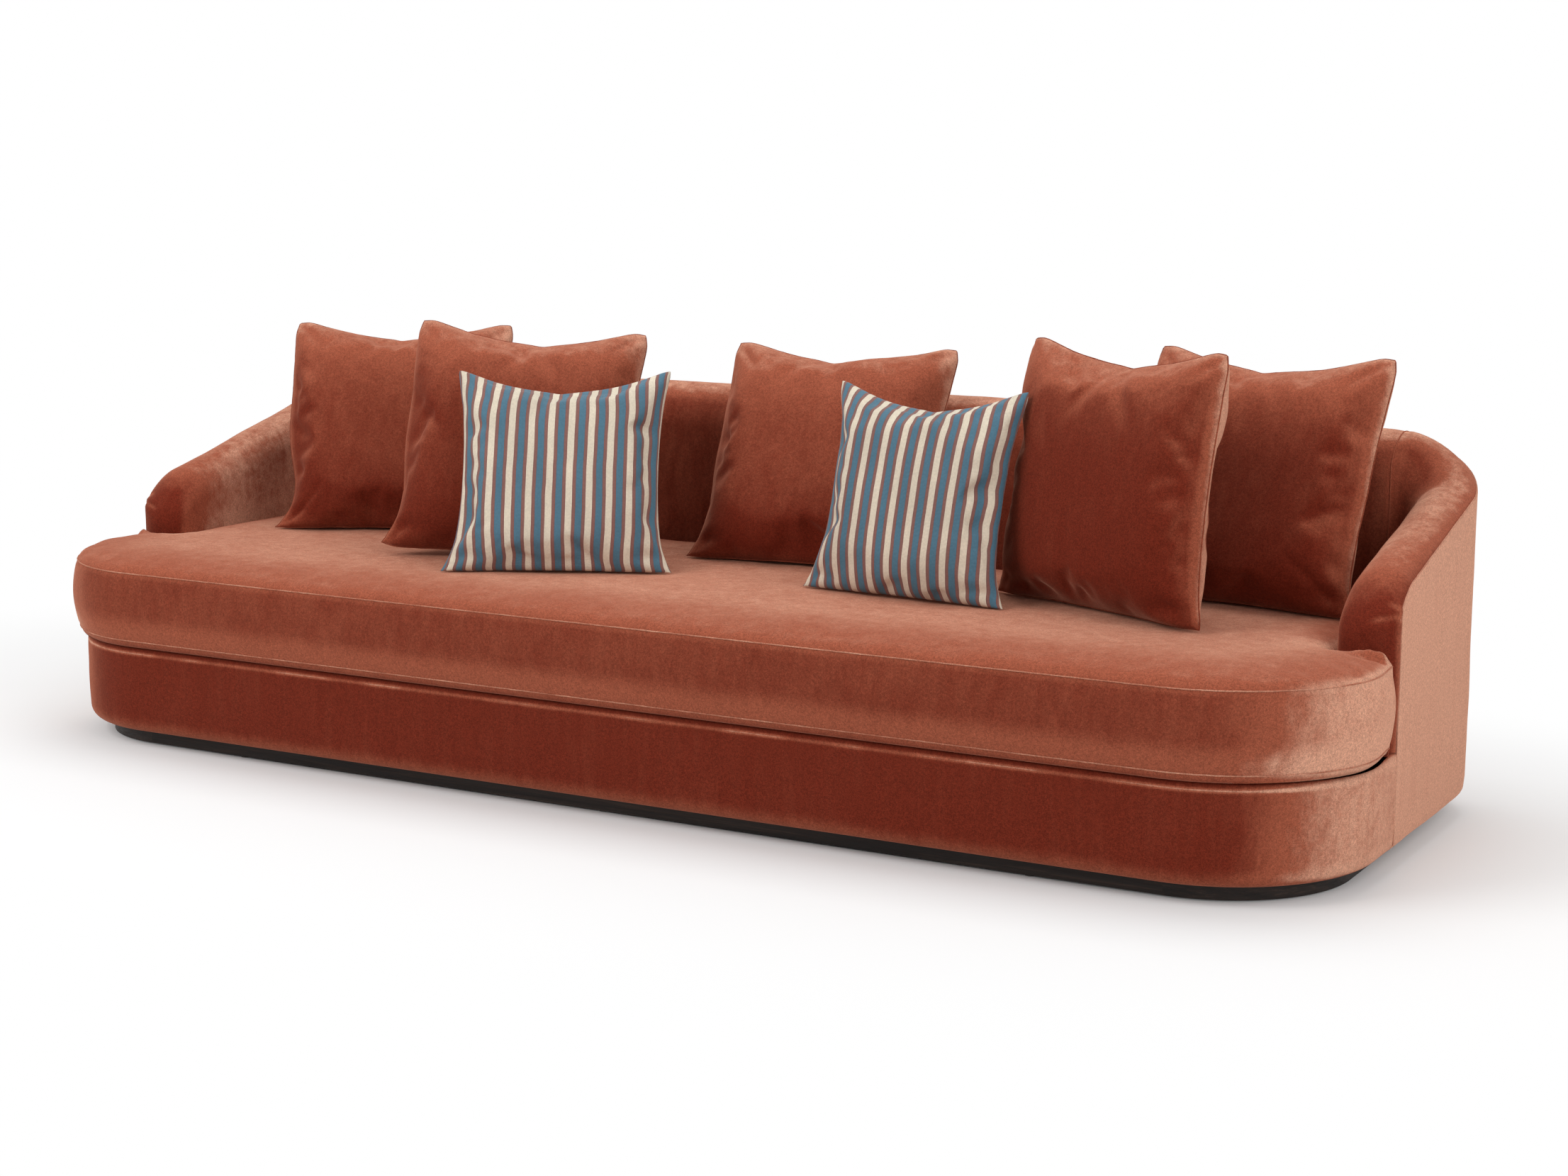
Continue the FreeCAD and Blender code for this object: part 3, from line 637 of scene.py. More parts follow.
def dress_inside():
    """Velvet and padding of the arms' fronts, tops and inner sides, and of the inside of the back."""
    size = sizes()
    piece = swept("inside_cover", inside_rows(), (0.0, 0.0, 1.0))
    mesh = piece.data
    normals = [vertex.normal.copy() for vertex in mesh.vertices]
    corner_x = size.half_width - size.rear_corner
    darts = nose_darts()
    nap_and_painted_light = []
    for vertex, normal in zip(mesh.vertices, normals):
        place = vertex.co.copy()
        across = abs(place.x)
        swell = 0.0022 * blend_step(place.z, 0.24, 0.36)
        swell += ripple(place, 7.0, 0.0022) + ripple(place, 22.0, 0.0008, 3.0)
        crease = math.exp(-((across - corner_x + 0.004) / 0.008) ** 2) * (1.0 if place.y > 0.30 else 0.0)
        swell -= 0.002 * crease
        outward = max(normal.y, math.copysign(normal.x, normal.x * place.x))
        if place.y > size.arm_front + 0.0005:
            swell *= blend_step(outward, 0.8, 0.5)
        drawn = 0.0
        if across > size.half_width - size.arm_thickness and place.y < size.arm_front + 0.02:
            for start, end in darts:
                drawn += fold_share((across, place.y, place.z), start, end, 0.005)
                swell += 0.0015 * fold_share((across, place.y, place.z - 0.009), start, end, 0.007)
        swell -= 0.0045 * drawn
        vertex.co = place + normal * swell
        nap_and_painted_light.append(inside_nap_and_painted_light(place, normal, drawn))
    set_nap_and_painted_light(piece, nap_and_painted_light)
    settled(piece, "sofa", "velvet", "left_arm_inside_cover", "right_arm_inside_cover", "inside_back_cover",
            "left_arm_padding", "right_arm_padding", "left_corner_padding", "right_corner_padding",
            "back_padding", fill=0.9)
    paths = []
    for x in (-corner_x, corner_x):
        cut = back_cut(x)
        heights = steps_between(cut.roll_height, 0.43, 0.02)[1:]
        run = cut.rolled(30) + [(cut.thickness, height) for height in heights]
        places = [piece.closest_point_on_mesh(cut.point(*place)) for place in run]
        paths.append(([place + normal * 0.0004 for found, place, normal, index in places], False))
    sewn_seams("inside_seams", paths, "sofa", radius=0.0012, wander=0.0008,
               material=velvet("velvet_inside_seam"))


def under_turn():
    """Depth and height of a cover from its hidden edge under the base to its lower edge's top."""
    size = sizes()
    centre = size.underside + size.lower_edge
    places = [(size.under_turn, size.underside)]
    for step in range(9):
        turn = math.radians(270 - 90 * step / 8)
        places.append((size.lower_edge + size.lower_edge * math.cos(turn),
                       centre + size.lower_edge * math.sin(turn)))
    return places


def dress_outside():
    """Velvet panel round the outside of the arms and back, with a turned-in edge at its seams."""
    size = sizes()
    proud = 0.0012
    rows = []
    for cut in half_run():
        top = cut.seam() + 0.001
        low = size.underside + size.lower_edge
        wall = [(-proud, low + (top - 0.004 - low) * step / 40) for step in range(1, 41)]
        fold = [(-proud * 0.6, top - 0.0012), (0.0008, top), (0.0035, top - 0.0010), (0.0045, top - 0.006)]
        rows.append([cut.point(*place) for place in under_turn() + wall + fold])
    first = [point + Vector((-0.004 if point.x > 0 else 0.004, 0.0005, 0.0)) for point in rows[0]]
    rows = both_sides([first] + rows)
    piece = swept("outside_panel", rows, (0.0, 1.0, 0.0))
    nap_and_painted_light = []
    for vertex in piece.data.vertices:
        place = vertex.co.copy()
        normal = vertex.normal.copy()
        # Painted sheen: the round lower edge is made paler
        low = blend_step(place.z, 0.10, 0.035)
        vertex.co = place + normal * (ripple(place, 6.0, 0.0016) + ripple(place, 24.0, 0.0005, 7.0))
        near_seam = 0.0
        if abs(place.x) > 1.4:
            near_seam = blend_step(abs(place.y - size.arm_front), 0.012, 0.0)
        nap_and_painted_light.append(min(1.0, 0.8 * low + 0.7 * near_seam))
    set_nap_and_painted_light(piece, nap_and_painted_light)
    settled(piece, "sofa", "velvet", "outside_cover", fill=0.9)
    cuts = half_run()
    run = [cuts[0].point(0.0, height) for height in steps_between(0.05, cuts[0].seam(), 0.02)]
    run += [cut.point(0.0006, cut.seam() + 0.0010) for cut in cuts[1:]]
    line = both_sides([[point] for point in run])
    sewn_seams("outside_seam", [([row[0] for row in line], False)], "sofa",
               radius=0.0013, wander=0.0010, material=velvet("velvet_outside_seam"))


# Border and seat deck

def front_outline(outset, spacing):
    """Points and outward directions round the front, from the right side to the left."""
    size = sizes()
    radius = size.front_corner + outset
    side_x = size.half_width + outset
    corner_y = size.front + size.front_corner
    run = [(Vector((side_x, y, 0.0)), Vector((1.0, 0.0, 0.0)))
           for y in steps_between(size.arm_front - 0.0005, corner_y, spacing)]
    corner = Vector((size.half_width - size.front_corner, corner_y, 0.0))
    for turn in steps_between(0.0, -math.pi / 2, spacing / radius)[1:]:
        out = Vector((math.cos(turn), math.sin(turn), 0.0))
        run.append((corner + out * radius, out))
    for x in steps_between(corner.x, 0.0, spacing)[1:]:
        run.append((Vector((x, size.front - outset, 0.0)), Vector((0.0, -1.0, 0.0))))
    return run + [(mirrored(point), mirrored(out)) for point, out in reversed(run[:-1])]


def dress_border():
    """Padded velvet band round the front of the base, from arm seam to arm seam."""
    size = sizes()
    low = size.underside + size.lower_edge
    edge = size.border_edge
    top = size.border_top
    line_height, line_width, lip_width = 0.206, 0.0035, 0.050
    wall = [(0.0, height) for height in steps_between(low, line_height - 0.008, 0.010)[1:]]
    wall += [(0.0, line_height + step) for step in (-0.005, -0.0025, 0.0, 0.0025)]
    wall.append((0.0, top - edge))
    round_edge = []
    for step in range(1, 7):
        turn = math.radians(180 - 90 * step / 6)
        round_edge.append((edge + edge * math.cos(turn), top - edge + edge * math.sin(turn)))
    lip = [(edge + (lip_width - edge) * step / 5, top) for step in range(1, 6)]
    section = under_turn() + wall + round_edge + lip
    rows = []
    for point, out in front_outline(0.0, size.grid):
        rows.append([point - out * depth + Vector((0.0, 0.0, height)) for depth, height in section])
    piece = swept("border_band", rows, (0.0, -1.0, 0.0))
    nap_and_painted_light = []
    for vertex in piece.data.vertices:
        place = vertex.co.copy()
        normal = vertex.normal.copy()
        face = blend_step(place.z, 0.05, 0.09) * blend_step(place.z, 0.219, 0.20)
        swell = face * (0.0012 + ripple(place, 9.0, 0.0018) + ripple(place, 34.0, 0.0006, 5.0))
        vertex.co = place + normal * swell
        broken = blend_step(ripple(place, 12.0, 1.0), -0.3, 0.3)
        line = math.exp(-((place.z - line_height) / line_width) ** 2) * (0.5 + 0.5 * broken)
        # Painted sheen: the round lower edge and the sides turned towards the ends are made paler
        turned = blend_step(place.z, 0.075, 0.036) * 0.35
        sideways = 0.9 * blend_step(abs(normal.x), 0.3, 0.98)
        nap_and_painted_light.append(min(1.0, 0.8 * line + turned + sideways))
    set_nap_and_painted_light(piece, nap_and_painted_light)
    settled(piece, "sofa", "velvet", "border_cover", "border_front_pad", "border_left_pad",
            "border_right_pad", fill=0.85)


def dress_deck():
    """Quilted cloth deck that the bench cushion lies on."""
    low, high = (Vector(corner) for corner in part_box("seat_deck"))
    size = sizes()
    inset = size.half_width - high.x
    spacing, clear = 0.03, 0.0004
    quilt_across, quilt_along, stitch_depth, rim_drop = 0.32, 0.30, 0.0035, 0.004
    xs = steps_between(low.x, high.x, spacing)
    ys = steps_between(low.y, high.y, spacing)
    top, bottom = [], []
    for y in ys:
        front = max(0.0, low.y + size.front_corner - inset - y)
        rear = max(0.0, y - (high.y - size.rear_corner + inset))
        radius = size.front_corner - inset if front > 0 else size.rear_corner - inset
        cut = corner_inset(max(front, rear), radius)
        for x in xs:
            place = x * (high.x - cut) / high.x
            across, along = place / quilt_across, (y - low.y) / quilt_along
            sewn = abs(math.sin(across * math.pi) * math.sin(along * math.pi)) ** 0.35
            rim = min(high.x - cut - abs(place), y - low.y, high.y - y)
            soft = stitch_depth * (1 - sewn) + rim_drop * blend_step(rim, 0.02, 0.0)
            top.append(Vector((place, y, high.z - clear - soft)))
            bottom.append(Vector((place, y, low.z + clear)))
    columns, rows = len(xs), len(ys)
    faces = grid_faces(rows, columns)
    count = len(top)
    faces += [tuple(count + index for index in reversed(face)) for face in grid_faces(rows, columns)]
    rim = list(range(columns)) + [row * columns + columns - 1 for row in range(1, rows)]
    rim += [(rows - 1) * columns + column for column in range(columns - 2, -1, -1)]
    rim += [row * columns for row in range(rows - 2, 0, -1)]
    for here, there in zip(rim, rim[1:] + rim[:1]):
        faces.append((here, there, count + there, count + here))
    piece = new_piece("seat_deck_cloth", top + bottom, faces,
                      coarse_cloth("deck_cloth", (0.05, 0.035, 0.03), (0.12, 0.085, 0.07), 520.0))
    tidy(piece)
    settled(piece, "sofa", "deck_felt", "seat_deck", fill=0.8)


# Seams

def seam_tree():
    """A thin raised line of pile along a path: inputs for its radius, its wander and its material."""
    group = bpy.data.node_groups.new("sewn_seam", "GeometryNodeTree")
    inputs = {"Geometry": "Geometry", "Radius": "Float", "Wander": "Float", "Material": "Material"}
    for name, kind in inputs.items():
        group.interface.new_socket(name, in_out="INPUT", socket_type="NodeSocket" + kind)
    group.interface.new_socket("Geometry", in_out="OUTPUT", socket_type="NodeSocketGeometry")
    tree = Tree(group)
    given = tree.add("NodeGroupInput").outputs
    curve = tree.add("GeometryNodeMeshToCurve", {"Mesh": given["Geometry"]})
    even = tree.add("GeometryNodeResampleCurve", {"Curve": curve, "Length": 0.006}, mode="LENGTH")
    drift = tree.add("ShaderNodeTexNoise", {"Scale": 90.0}).outputs["Color"]
    centred = tree.add("ShaderNodeVectorMath", {0: drift, 1: (0.5, 0.5, 0.5)}, operation="SUBTRACT")
    scaled = tree.add("ShaderNodeVectorMath", {0: centred, "Scale": given["Wander"]}, operation="SCALE")
    moved = tree.add("GeometryNodeSetPosition", {"Geometry": even, "Offset": scaled})
    ring = tree.add("GeometryNodeCurvePrimitiveCircle", {"Resolution": 6, "Radius": given["Radius"]})
    tube = tree.add("GeometryNodeCurveToMesh", {"Curve": moved, "Profile Curve": ring, "Fill Caps": True})
    real = tree.add("GeometryNodeRealizeInstances", {"Geometry": tube})
    painted = tree.add("GeometryNodeSetMaterial", {"Geometry": real, "Material": given["Material"]})
    tree.add("NodeGroupOutput", {"Geometry": painted})
    return group


def sewn_seams(name, paths, body, radius, wander, material):
    """Seam lines along closed or open paths of points, made into one plain mesh for a body."""
    points, edges = [], []
    for path, closed in paths:
        start = len(points)
        points += [tuple(point) for point in path]
        edges += [(start + index, start + index + 1) for index in range(len(path) - 1)]
        if closed:
            edges.append((start + len(path) - 1, start))
    line = bpy.data.meshes.new(name + "_path")
    line.from_pydata(points, edges, [])
    piece = placed(name, line)
    tree = bpy.data.node_groups.get("sewn_seam") or seam_tree()
    modifier = piece.modifiers.new("seam", "NODES")
    modifier.node_group = tree
    given = {"Radius": radius, "Wander": wander, "Material": material}
    for item in tree.interface.items_tree:
        if item.in_out == "INPUT" and item.name in given:
            modifier[item.identifier] = given[item.name]
    made_plain(piece, modifier, name)
    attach(piece, body)


# Bench cushion

class BenchOutline:
    """The T-shaped seam outline of the bench cushion."""

    def __init__(self):
        size = sizes()
        self.half = size.half_width + size.bench_overhang
        self.front = size.front - size.bench_overhang
        self.corner = size.front_corner + size.bench_overhang
        self.notch = size.arm_front - size.nose_reach - size.bench_gap
        self.inner_half = size.half_width - size.arm_thickness - size.bench_gap
        self.back = size.rear - size.back_thickness - size.bench_gap
        self.rear_radius = 0.03

    def columns(self, spacing):
        """Places across the seat, closer round the front corners."""
        flat = self.half - self.corner
        right = steps_between(0.0, flat, spacing)
        for turn in steps_between(0.0, math.pi / 2, spacing / self.corner)[1:]:
            right.append(flat + self.corner * math.sin(turn))
        nearest = min(range(len(right)), key=lambda index: abs(right[index] - self.inner_half))
        right[nearest] = self.inner_half
        return [-x for x in reversed(right[1:])] + right

    def front_at(self, x):
        return self.front + corner_inset(abs(x) - (self.half - self.corner), self.corner)

    def back_at(self, x):
        return self.back - corner_inset(abs(x) - (self.inner_half - self.rear_radius), self.rear_radius)

    def inside(self, x, y):
        """How far a point lies inside the outline, with a wider reach at the front edge."""
        reach = [self.corner_distance(x, y), self.half - abs(x)]
        if abs(x) > self.inner_half:
            reach.append(2 * (self.notch - y))
        else:
            reach.append(2 * (self.back - y))
            if y > self.notch:
                reach.append(2 * (self.inner_half - abs(x)))
            else:
                away = math.hypot(self.inner_half - abs(x), self.notch - y)
                reach.append(2 * away + 0.02)
        return max(0.0, min(reach))

    def corner_distance(self, x, y):
        over_x = abs(x) - (self.half - self.corner)
        over_y = self.front + self.corner - y
        if over_x > 0 and over_y > 0:
            return self.corner - math.hypot(over_x, over_y)
        return y - self.front


def bench_top(outline, x, y):
    """Height of the crowned seat at a place."""
    size = sizes()
    reach = outline.inside(x, y)
    share = min(1.0, reach / 0.16)
    rise = (size.bench_crown - size.bench_upper_seam) * math.sqrt(1 - (1 - share) ** 2)
    place = Vector((x, y, 0.0))
    sag = 0.004 * abs(noise.noise(place * 3.1)) + 0.0025 * abs(noise.noise(place * 8.0))
    gathers = 0.0035 * blend_step(reach, 0.10, 0.012) * noise.noise(Vector((x * 26.0, y * 26.0, 1.5)))
    ear = (outline.half - 0.016, outline.notch - 0.008)
    inner = (outline.half - 0.085, outline.notch - 0.045)
    fold = 0.010 * fold_share((abs(x), y), ear, inner, 0.009)
    fold -= 0.007 * fold_share((abs(x), y + 0.020), ear, inner, 0.010)
    uneven = (gathers + fold) * blend_step(reach, 0.0, 0.01)
    return size.bench_upper_seam + max(0.0, rise - sag * share) + uneven


def bench_panel(outline, xs, inner, points, height):
    """Add a panel's points, a grid over the whole front and one between the arms behind it."""
    number = {}
    for row in range(BENCH_FRONT_ROWS + 1):
        for column, x in enumerate(xs):
            start = outline.front_at(x)
            y = start + (outline.notch - start) * row / BENCH_FRONT_ROWS
            number[row, column] = len(points)
            points.append(Vector((x, y, height(x, y))))
    for row in range(1, BENCH_REAR_ROWS + 1):
        for column in inner:
            x = xs[column]
            y = outline.notch + (outline.back_at(x) - outline.notch) * row / BENCH_REAR_ROWS
            number[BENCH_FRONT_ROWS + row, column] = len(points)
            points.append(Vector((x, y, height(x, y))))
    quads = []
    for row, column in number:
        keys = ((row, column), (row, column + 1), (row + 1, column + 1), (row + 1, column))
        corners = tuple(number.get(key) for key in keys)
        if None not in corners:
            quads.append(corners)
    return number, quads


def bench_ring(last, left, right):
    """Keys round the rim of a panel, from its front left corner along the front and back by the arms."""
    front, rear = BENCH_FRONT_ROWS, BENCH_FRONT_ROWS + BENCH_REAR_ROWS
    ring = [(0, column) for column in range(last + 1)]
    ring += [(row, last) for row in range(1, front + 1)]
    ring += [(front, column) for column in range(last - 1, right - 1, -1)]
    ring += [(row, right) for row in range(front + 1, rear + 1)]
    ring += [(rear, column) for column in range(right - 1, left - 1, -1)]
    ring += [(row, left) for row in range(rear - 1, front - 1, -1)]
    ring += [(front, column) for column in range(left - 1, -1, -1)]
    ring += [(row, 0) for row in range(front - 1, 0, -1)]
    return ring


def boxing_swell(outline, place, travel, share):
    """How far the boxing stands out below a place on the upper seam, at a share of its height."""
    open_front = blend_step(place.y, outline.notch + 0.002, outline.notch - 0.02)
    bulge = sizes().bench_bulge * open_front + 0.002 * (1 - open_front)
    pull = math.sin(math.pi * share) ** 0.7
    pucker = noise.noise(Vector((travel * 34.0, share * 2.0, 4.0)))
    drag = noise.noise(Vector((travel * 9.0, share * 1.5, 9.0)))
    small = noise.noise(Vector((travel * 52.0, share * 3.0, 2.0)))
    gathered = blend_step(place.x, 0.2, 0.9) * blend_step(share, 0.62, 0.95)
    wrinkles = 0.0022 * pucker * (1 - share) * pull ** 0.5 + 0.003 * drag * pull
    return bulge * pull + open_front * (wrinkles + 0.0035 * small * gathered)


def bench_nap_and_painted_light(outline, place, normal):
    """How much paler the bench cushion is: pile along its upper seam and worn by the arms, and painted sheen
    on its top, its ends and above its lower seam.
    """
    # Painted sheen: the band above the lower seam, the top and the ends are made paler; the upper seam line
    # and the worn patch are the pile's own
    band = blend_step(place.z, 0.30, 0.252) * blend_step(place.z, 0.222, 0.236)
    band *= blend_step(place.y, outline.notch, outline.notch - 0.02)
    edge = math.exp(-((place.z - sizes().bench_upper_seam) / 0.006) ** 2)
    inwards = blend_step(outline.inside(place.x, place.y), 0.03, 0.22)
    on_top = (0.40 + 0.18 * inwards) * blend_step(normal.z, 0.45, 0.95)
    worn = math.hypot(abs(place.x) - outline.inner_half + 0.02, place.y - outline.notch)
    on_top += 0.3 * math.exp(-(worn / 0.05) ** 2)
    sideways = 0.8 * blend_step(abs(normal.x), 0.3, 0.98)
    return min(1.0, 0.3 * band + 0.15 * edge + on_top + sideways)


def dress_bench():
    """The T-shaped bench cushion: crowned top, swelling boxing and a tucked-in bottom."""
    size = sizes()
    outline = BenchOutline()
    xs = outline.columns(size.grid)
    inner = [index for index, x in enumerate(xs) if abs(x) <= outline.inner_half + 1e-6]
    points = []
    lift = size.seat_rest + 0.0006
    top, faces = bench_panel(outline, xs, inner, points, lambda x, y: bench_top(outline, x, y))
    under, quads = bench_panel(outline, xs, inner, points, lambda x, y: lift)
    faces += [tuple(reversed(quad)) for quad in quads]
    for point in points:
        drawn = blend_step(point.y, outline.notch - 0.16, outline.notch)
        drawn *= blend_step(abs(point.x), 1.33, outline.half)
        point.x -= math.copysign(0.016 * drawn, point.x)
    ring = bench_ring(len(xs) - 1, inner[0], inner[-1])
    seam = [points[top[key]] for key in ring]
    count = len(ring)
    outs = []
    travel = [0.0]
    for index, place in enumerate(seam):
        along = seam[(index + 1) % count] - seam[index - 1]
        outs.append(Vector((along.y, -along.x, 0.0)).normalized())
        if index:
            travel.append(travel[-1] + (place - seam[index - 1]).length)
    rows = [[top[key] for key in ring]]

    def add_row(outset, height):
        """Add a row of points round the boxing, each set out from the seam."""
        rows.append(list(range(len(points), len(points) + count)))
        for index, (place, out) in enumerate(zip(seam, outs)):
            points.append(place.xy.to_3d() + out * outset(index) + Vector((0.0, 0.0, height)))

    for level in range(1, BENCH_LEVELS):
        share = level / BENCH_LEVELS
        add_row(lambda index: boxing_swell(outline, seam[index], travel[index], share),
                size.bench_upper_seam + (size.bench_lower_seam - size.bench_upper_seam) * share)
    add_row(lambda index: 0.0, size.bench_lower_seam)
    add_row(lambda index: -0.004, lift + 0.005)
    for key, out in zip(ring, outs):
        points[under[key]] -= out * 0.010
    rows.append([under[key] for key in ring])
    for upper, below in zip(rows, rows[1:]):
        for index in range(count):
            following = (index + 1) % count
            faces.append((upper[following], upper[index], below[index], below[following]))
    piece = new_piece("bench_cushion", points, faces, velvet("velvet_bench"))
    set_nap_and_painted_light(piece, [bench_nap_and_painted_light(outline, vertex.co, vertex.normal) for vertex in piece.data.vertices])
    tidy(piece)
    settled(piece, "bench_cushion", "velvet", "bench_cushion_cover", "bench_front_foam", "bench_rear_foam",
            fill=0.8)
    paths = []
    for height in (None, size.bench_lower_seam):
        path = []
        for place, out in zip(seam, outs):
            level = place.z if height is None else height
            path.append(Vector((place.x, place.y, level)) + out * 0.0006)
        paths.append((path, True))
    sewn_seams("bench_seams", paths, "bench_cushion", radius=0.0013, wander=0.0012,
               material=velvet("velvet_seam"))


# Loose cushions

def flat_cushion(name, side, gap, count):
    """Two square panels sewn round their edge, standing upright; also their point numbers and seam."""
    points, faces = [], []
    number = {}
    for layer in (-1, 1):
        for row in range(count + 1):
            for column in range(count + 1):
                on_edge = row in (0, count) or column in (0, count)
                if layer == 1 and on_edge:
                    number[layer, row, column] = number[-1, row, column]
                    continue
                number[layer, row, column] = len(points)
                depth = 0.0 if on_edge else layer * gap
                points.append(Vector((side * (column / count - 0.5), depth, side * (row / count - 0.5))))
    for layer in (-1, 1):
        for row in range(count):
            for column in range(count):
                quad = [number[layer, row, column], number[layer, row, column + 1],
                        number[layer, row + 1, column + 1], number[layer, row + 1, column]]
                faces.append(tuple(quad if layer == -1 else reversed(quad)))
    mesh = bpy.data.meshes.new(name)
    mesh.from_pydata([tuple(point) for point in points], [], faces)
    piece = placed(name, mesh)
    edge = [(0, column) for column in range(count)] + [(row, count) for row in range(count)]
    edge += [(count, column) for column in range(count, 0, -1)] + [(row, 0) for row in range(count, 0, -1)]
    return piece, number, [number[-1, row, column] for row, column in edge]


def lay_cloth(piece, number, count):
    """Map each panel in metres along the cloth, from its middle, so that its stripes keep their width."""
    mesh = piece.data
    layer = mesh.uv_layers.new(name="panel")
    middle = count // 2
    for side, first in ((-1, 0), (1, count * count)):
        across, up = {}, {}
        for row in range(count + 1):
            for way in (-1, 1):
                travel = 0.0
                here = number[side, row, middle]
                across[here], up[here] = 0.0, row / count
                for column in range(middle + way, count + 1 if way > 0 else -1, way):
                    there = number[side, row, column]
                    travel += (mesh.vertices[there].co - mesh.vertices[here].co).length
                    across[there], up[there] = way * travel, row / count
                    here = there
        for polygon in mesh.polygons[first:first + count * count]:
            for loop in polygon.loop_indices:
                index = mesh.loops[loop].vertex_index
                layer.data[loop].uv = (across[index], up[index])


def corner_rounding(x, z, half, radius):
    """How far a place on the square panel is drawn in so that its corners are round."""
    across, up = abs(x) / half, abs(z) / half
    reach = max(across, up)
    if reach < 1e-6:
        return 1.0
    centre = 1 - radius / half
    wide, low = max(across, up) / reach, min(across, up) / reach
    if low <= centre:
        return 1.0
    norm = math.hypot(wide, low)
    along = centre * (wide + low) / norm
    edge = along + math.sqrt(max(0.0, along ** 2 - 2 * centre ** 2 + (radius / half) ** 2))
    return 1 + (edge / norm - 1) * reach ** 6


def shaped(piece, side, plump, draw, corner, fullness):
    """The sewn panels drawn to a crowned form with round corners and hollow sides, before they are filled."""
    half = side / 2
    for vertex in piece.data.vertices:
        x, y, z = vertex.co
        across, up = abs(x) / half, abs(z) / half
        full = max(0.0, (1 - across ** 3) * (1 - up ** 3)) ** fullness
        near = corner_rounding(x, z, half, corner)
        pull = draw / half
        vertex.co.x = x * near * (1 - pull * (1 - up ** 2) * across ** 3)
        if z > 0:
            vertex.co.z = z * near * (1 - pull * (1 - across ** 2) * up ** 3)
        else:
            vertex.co.z = z * near
        vertex.co.y = math.copysign(plump / 2 * full, y) if y else 0.0


def blow_up(piece, seed, cap):
    """Fill the sewn panels by cloth simulation; the loose cloth puckers along its seam."""
    mesh = piece.data
    start = [vertex.co.copy() for vertex in mesh.vertices]
    for vertex in mesh.vertices:
        if abs(vertex.co.y) > 0.004:
            vertex.co.y += ripple(vertex.co, 11.0, 0.006, seed) + ripple(vertex.co, 30.0, 0.002, seed)
    loose = piece.vertex_groups.new(name="loose")
    for vertex in mesh.vertices:
        loose.add([vertex.index], blend_step(abs(vertex.co.y), 0.0, 0.02), "REPLACE")
    modifier = piece.modifiers.new("cloth", "CLOTH")
    for key, value in CLOTH.items():
        setattr(modifier.settings, key, value)
    modifier.settings.effector_weights.gravity = 0.0
    modifier.collision_settings.use_collision = False
    scene = bpy.context.scene
    for span in (scene, modifier.point_cache):
        span.frame_start, span.frame_end = 1, CLOTH_FRAMES
    for number in range(1, CLOTH_FRAMES + 1):
        scene.frame_set(number)
    evaluated = piece.evaluated_get(bpy.context.evaluated_depsgraph_get())
    places = [vertex.co.copy() for vertex in evaluated.data.vertices]
    piece.modifiers.remove(modifier)
    piece.vertex_groups.remove(loose)
    scene.frame_set(1)
    for vertex, before, place in zip(mesh.vertices, start, places):
        move = place - before
        limit = cap * (0.25 + 0.75 * blend_step(abs(before.y), 0.0, 0.035))
        vertex.co = before + move * min(1.0, limit / max(move.length, 1e-9))


def plumped(piece, side, plump, dent, flare, sudden, waist, seed):
    """Bring a filled cushion to its sewn size, and dent its top by a blow of the hand, with folds below."""
    places = [vertex.co.copy() for vertex in piece.data.vertices]
    middle = sum(places, Vector()) / len(places)
    reach = [max(abs(place[axis] - middle[axis]) for place in places) for axis in range(3)]
    half = side / 2
    blow = 0.10 * half * math.sin(seed)
    tips = [(blow - half * (0.34 + 0.10 * math.sin(3 * seed)), half * (0.42 + 0.1 * math.cos(seed))),
            (blow + half * (0.34 + 0.10 * math.cos(2 * seed)), half * (0.42 + 0.1 * math.sin(2 * seed)))]
    for vertex, place in zip(piece.data.vertices, places):
        x = (place.x - middle.x) * half / reach[0]
        y = (place.y - middle.y) * plump / 2 / reach[1]
        z = (place.z - middle.z) * half / reach[2]
        bow = max(0.0, 1 - (x / half) ** 2)
        if z > 0:
            level = min(1.0, z / half)
            z -= dent * level ** 3 * bow ** 1.5
            z -= 0.25 * dent * level ** 6 * math.exp(-abs(x - blow) / (0.10 * half))
            y *= 1 - 0.15 * level ** 2 * bow ** 2
        else:
            low = min(1.0, -z / half)
            x -= x * waist * math.sin(math.pi * low ** 1.6)
            x += math.copysign(flare * (low * min(1.0, abs(x) / half)) ** sudden, x)
            ear = fold_share((abs(x), z), (half, -0.80 * half), (0.50 * half, -0.86 * half), 0.045 * half)
            y *= 1 - 0.28 * ear
        for tip in tips:
            hollow = fold_share((x, z), (blow, half - dent), tip, 0.05 * half)
            y *= 1 - 0.16 * hollow
        vertex.co = (x, y, z)


def stood(piece, side, foot, lean, turn, roll):
    """Roll, lean and turn a cushion and set it on the seat, flat where it rests."""
    size = sizes()
    tilt = Euler((math.radians(-lean), 0.0, 0.0)).to_matrix() @ Matrix.Rotation(math.radians(-roll), 3, "Y")
    way = Matrix.Rotation(math.radians(turn), 3, "Z") @ tilt
    rolled = math.cos(math.radians(abs(roll))) + math.sin(math.radians(abs(roll)))
    clear, sunk, softness = 0.0004, 0.007, 0.004
    rest = size.bench_crown + clear
    height = rest - sunk + side / 2 * rolled * math.cos(math.radians(lean))
    for vertex in piece.data.vertices:
        place = way @ vertex.co + Vector((*foot, height))
        over = place.z - rest
        place.z = rest + (over + math.sqrt(over ** 2 + softness ** 2)) / 2
        vertex.co = place


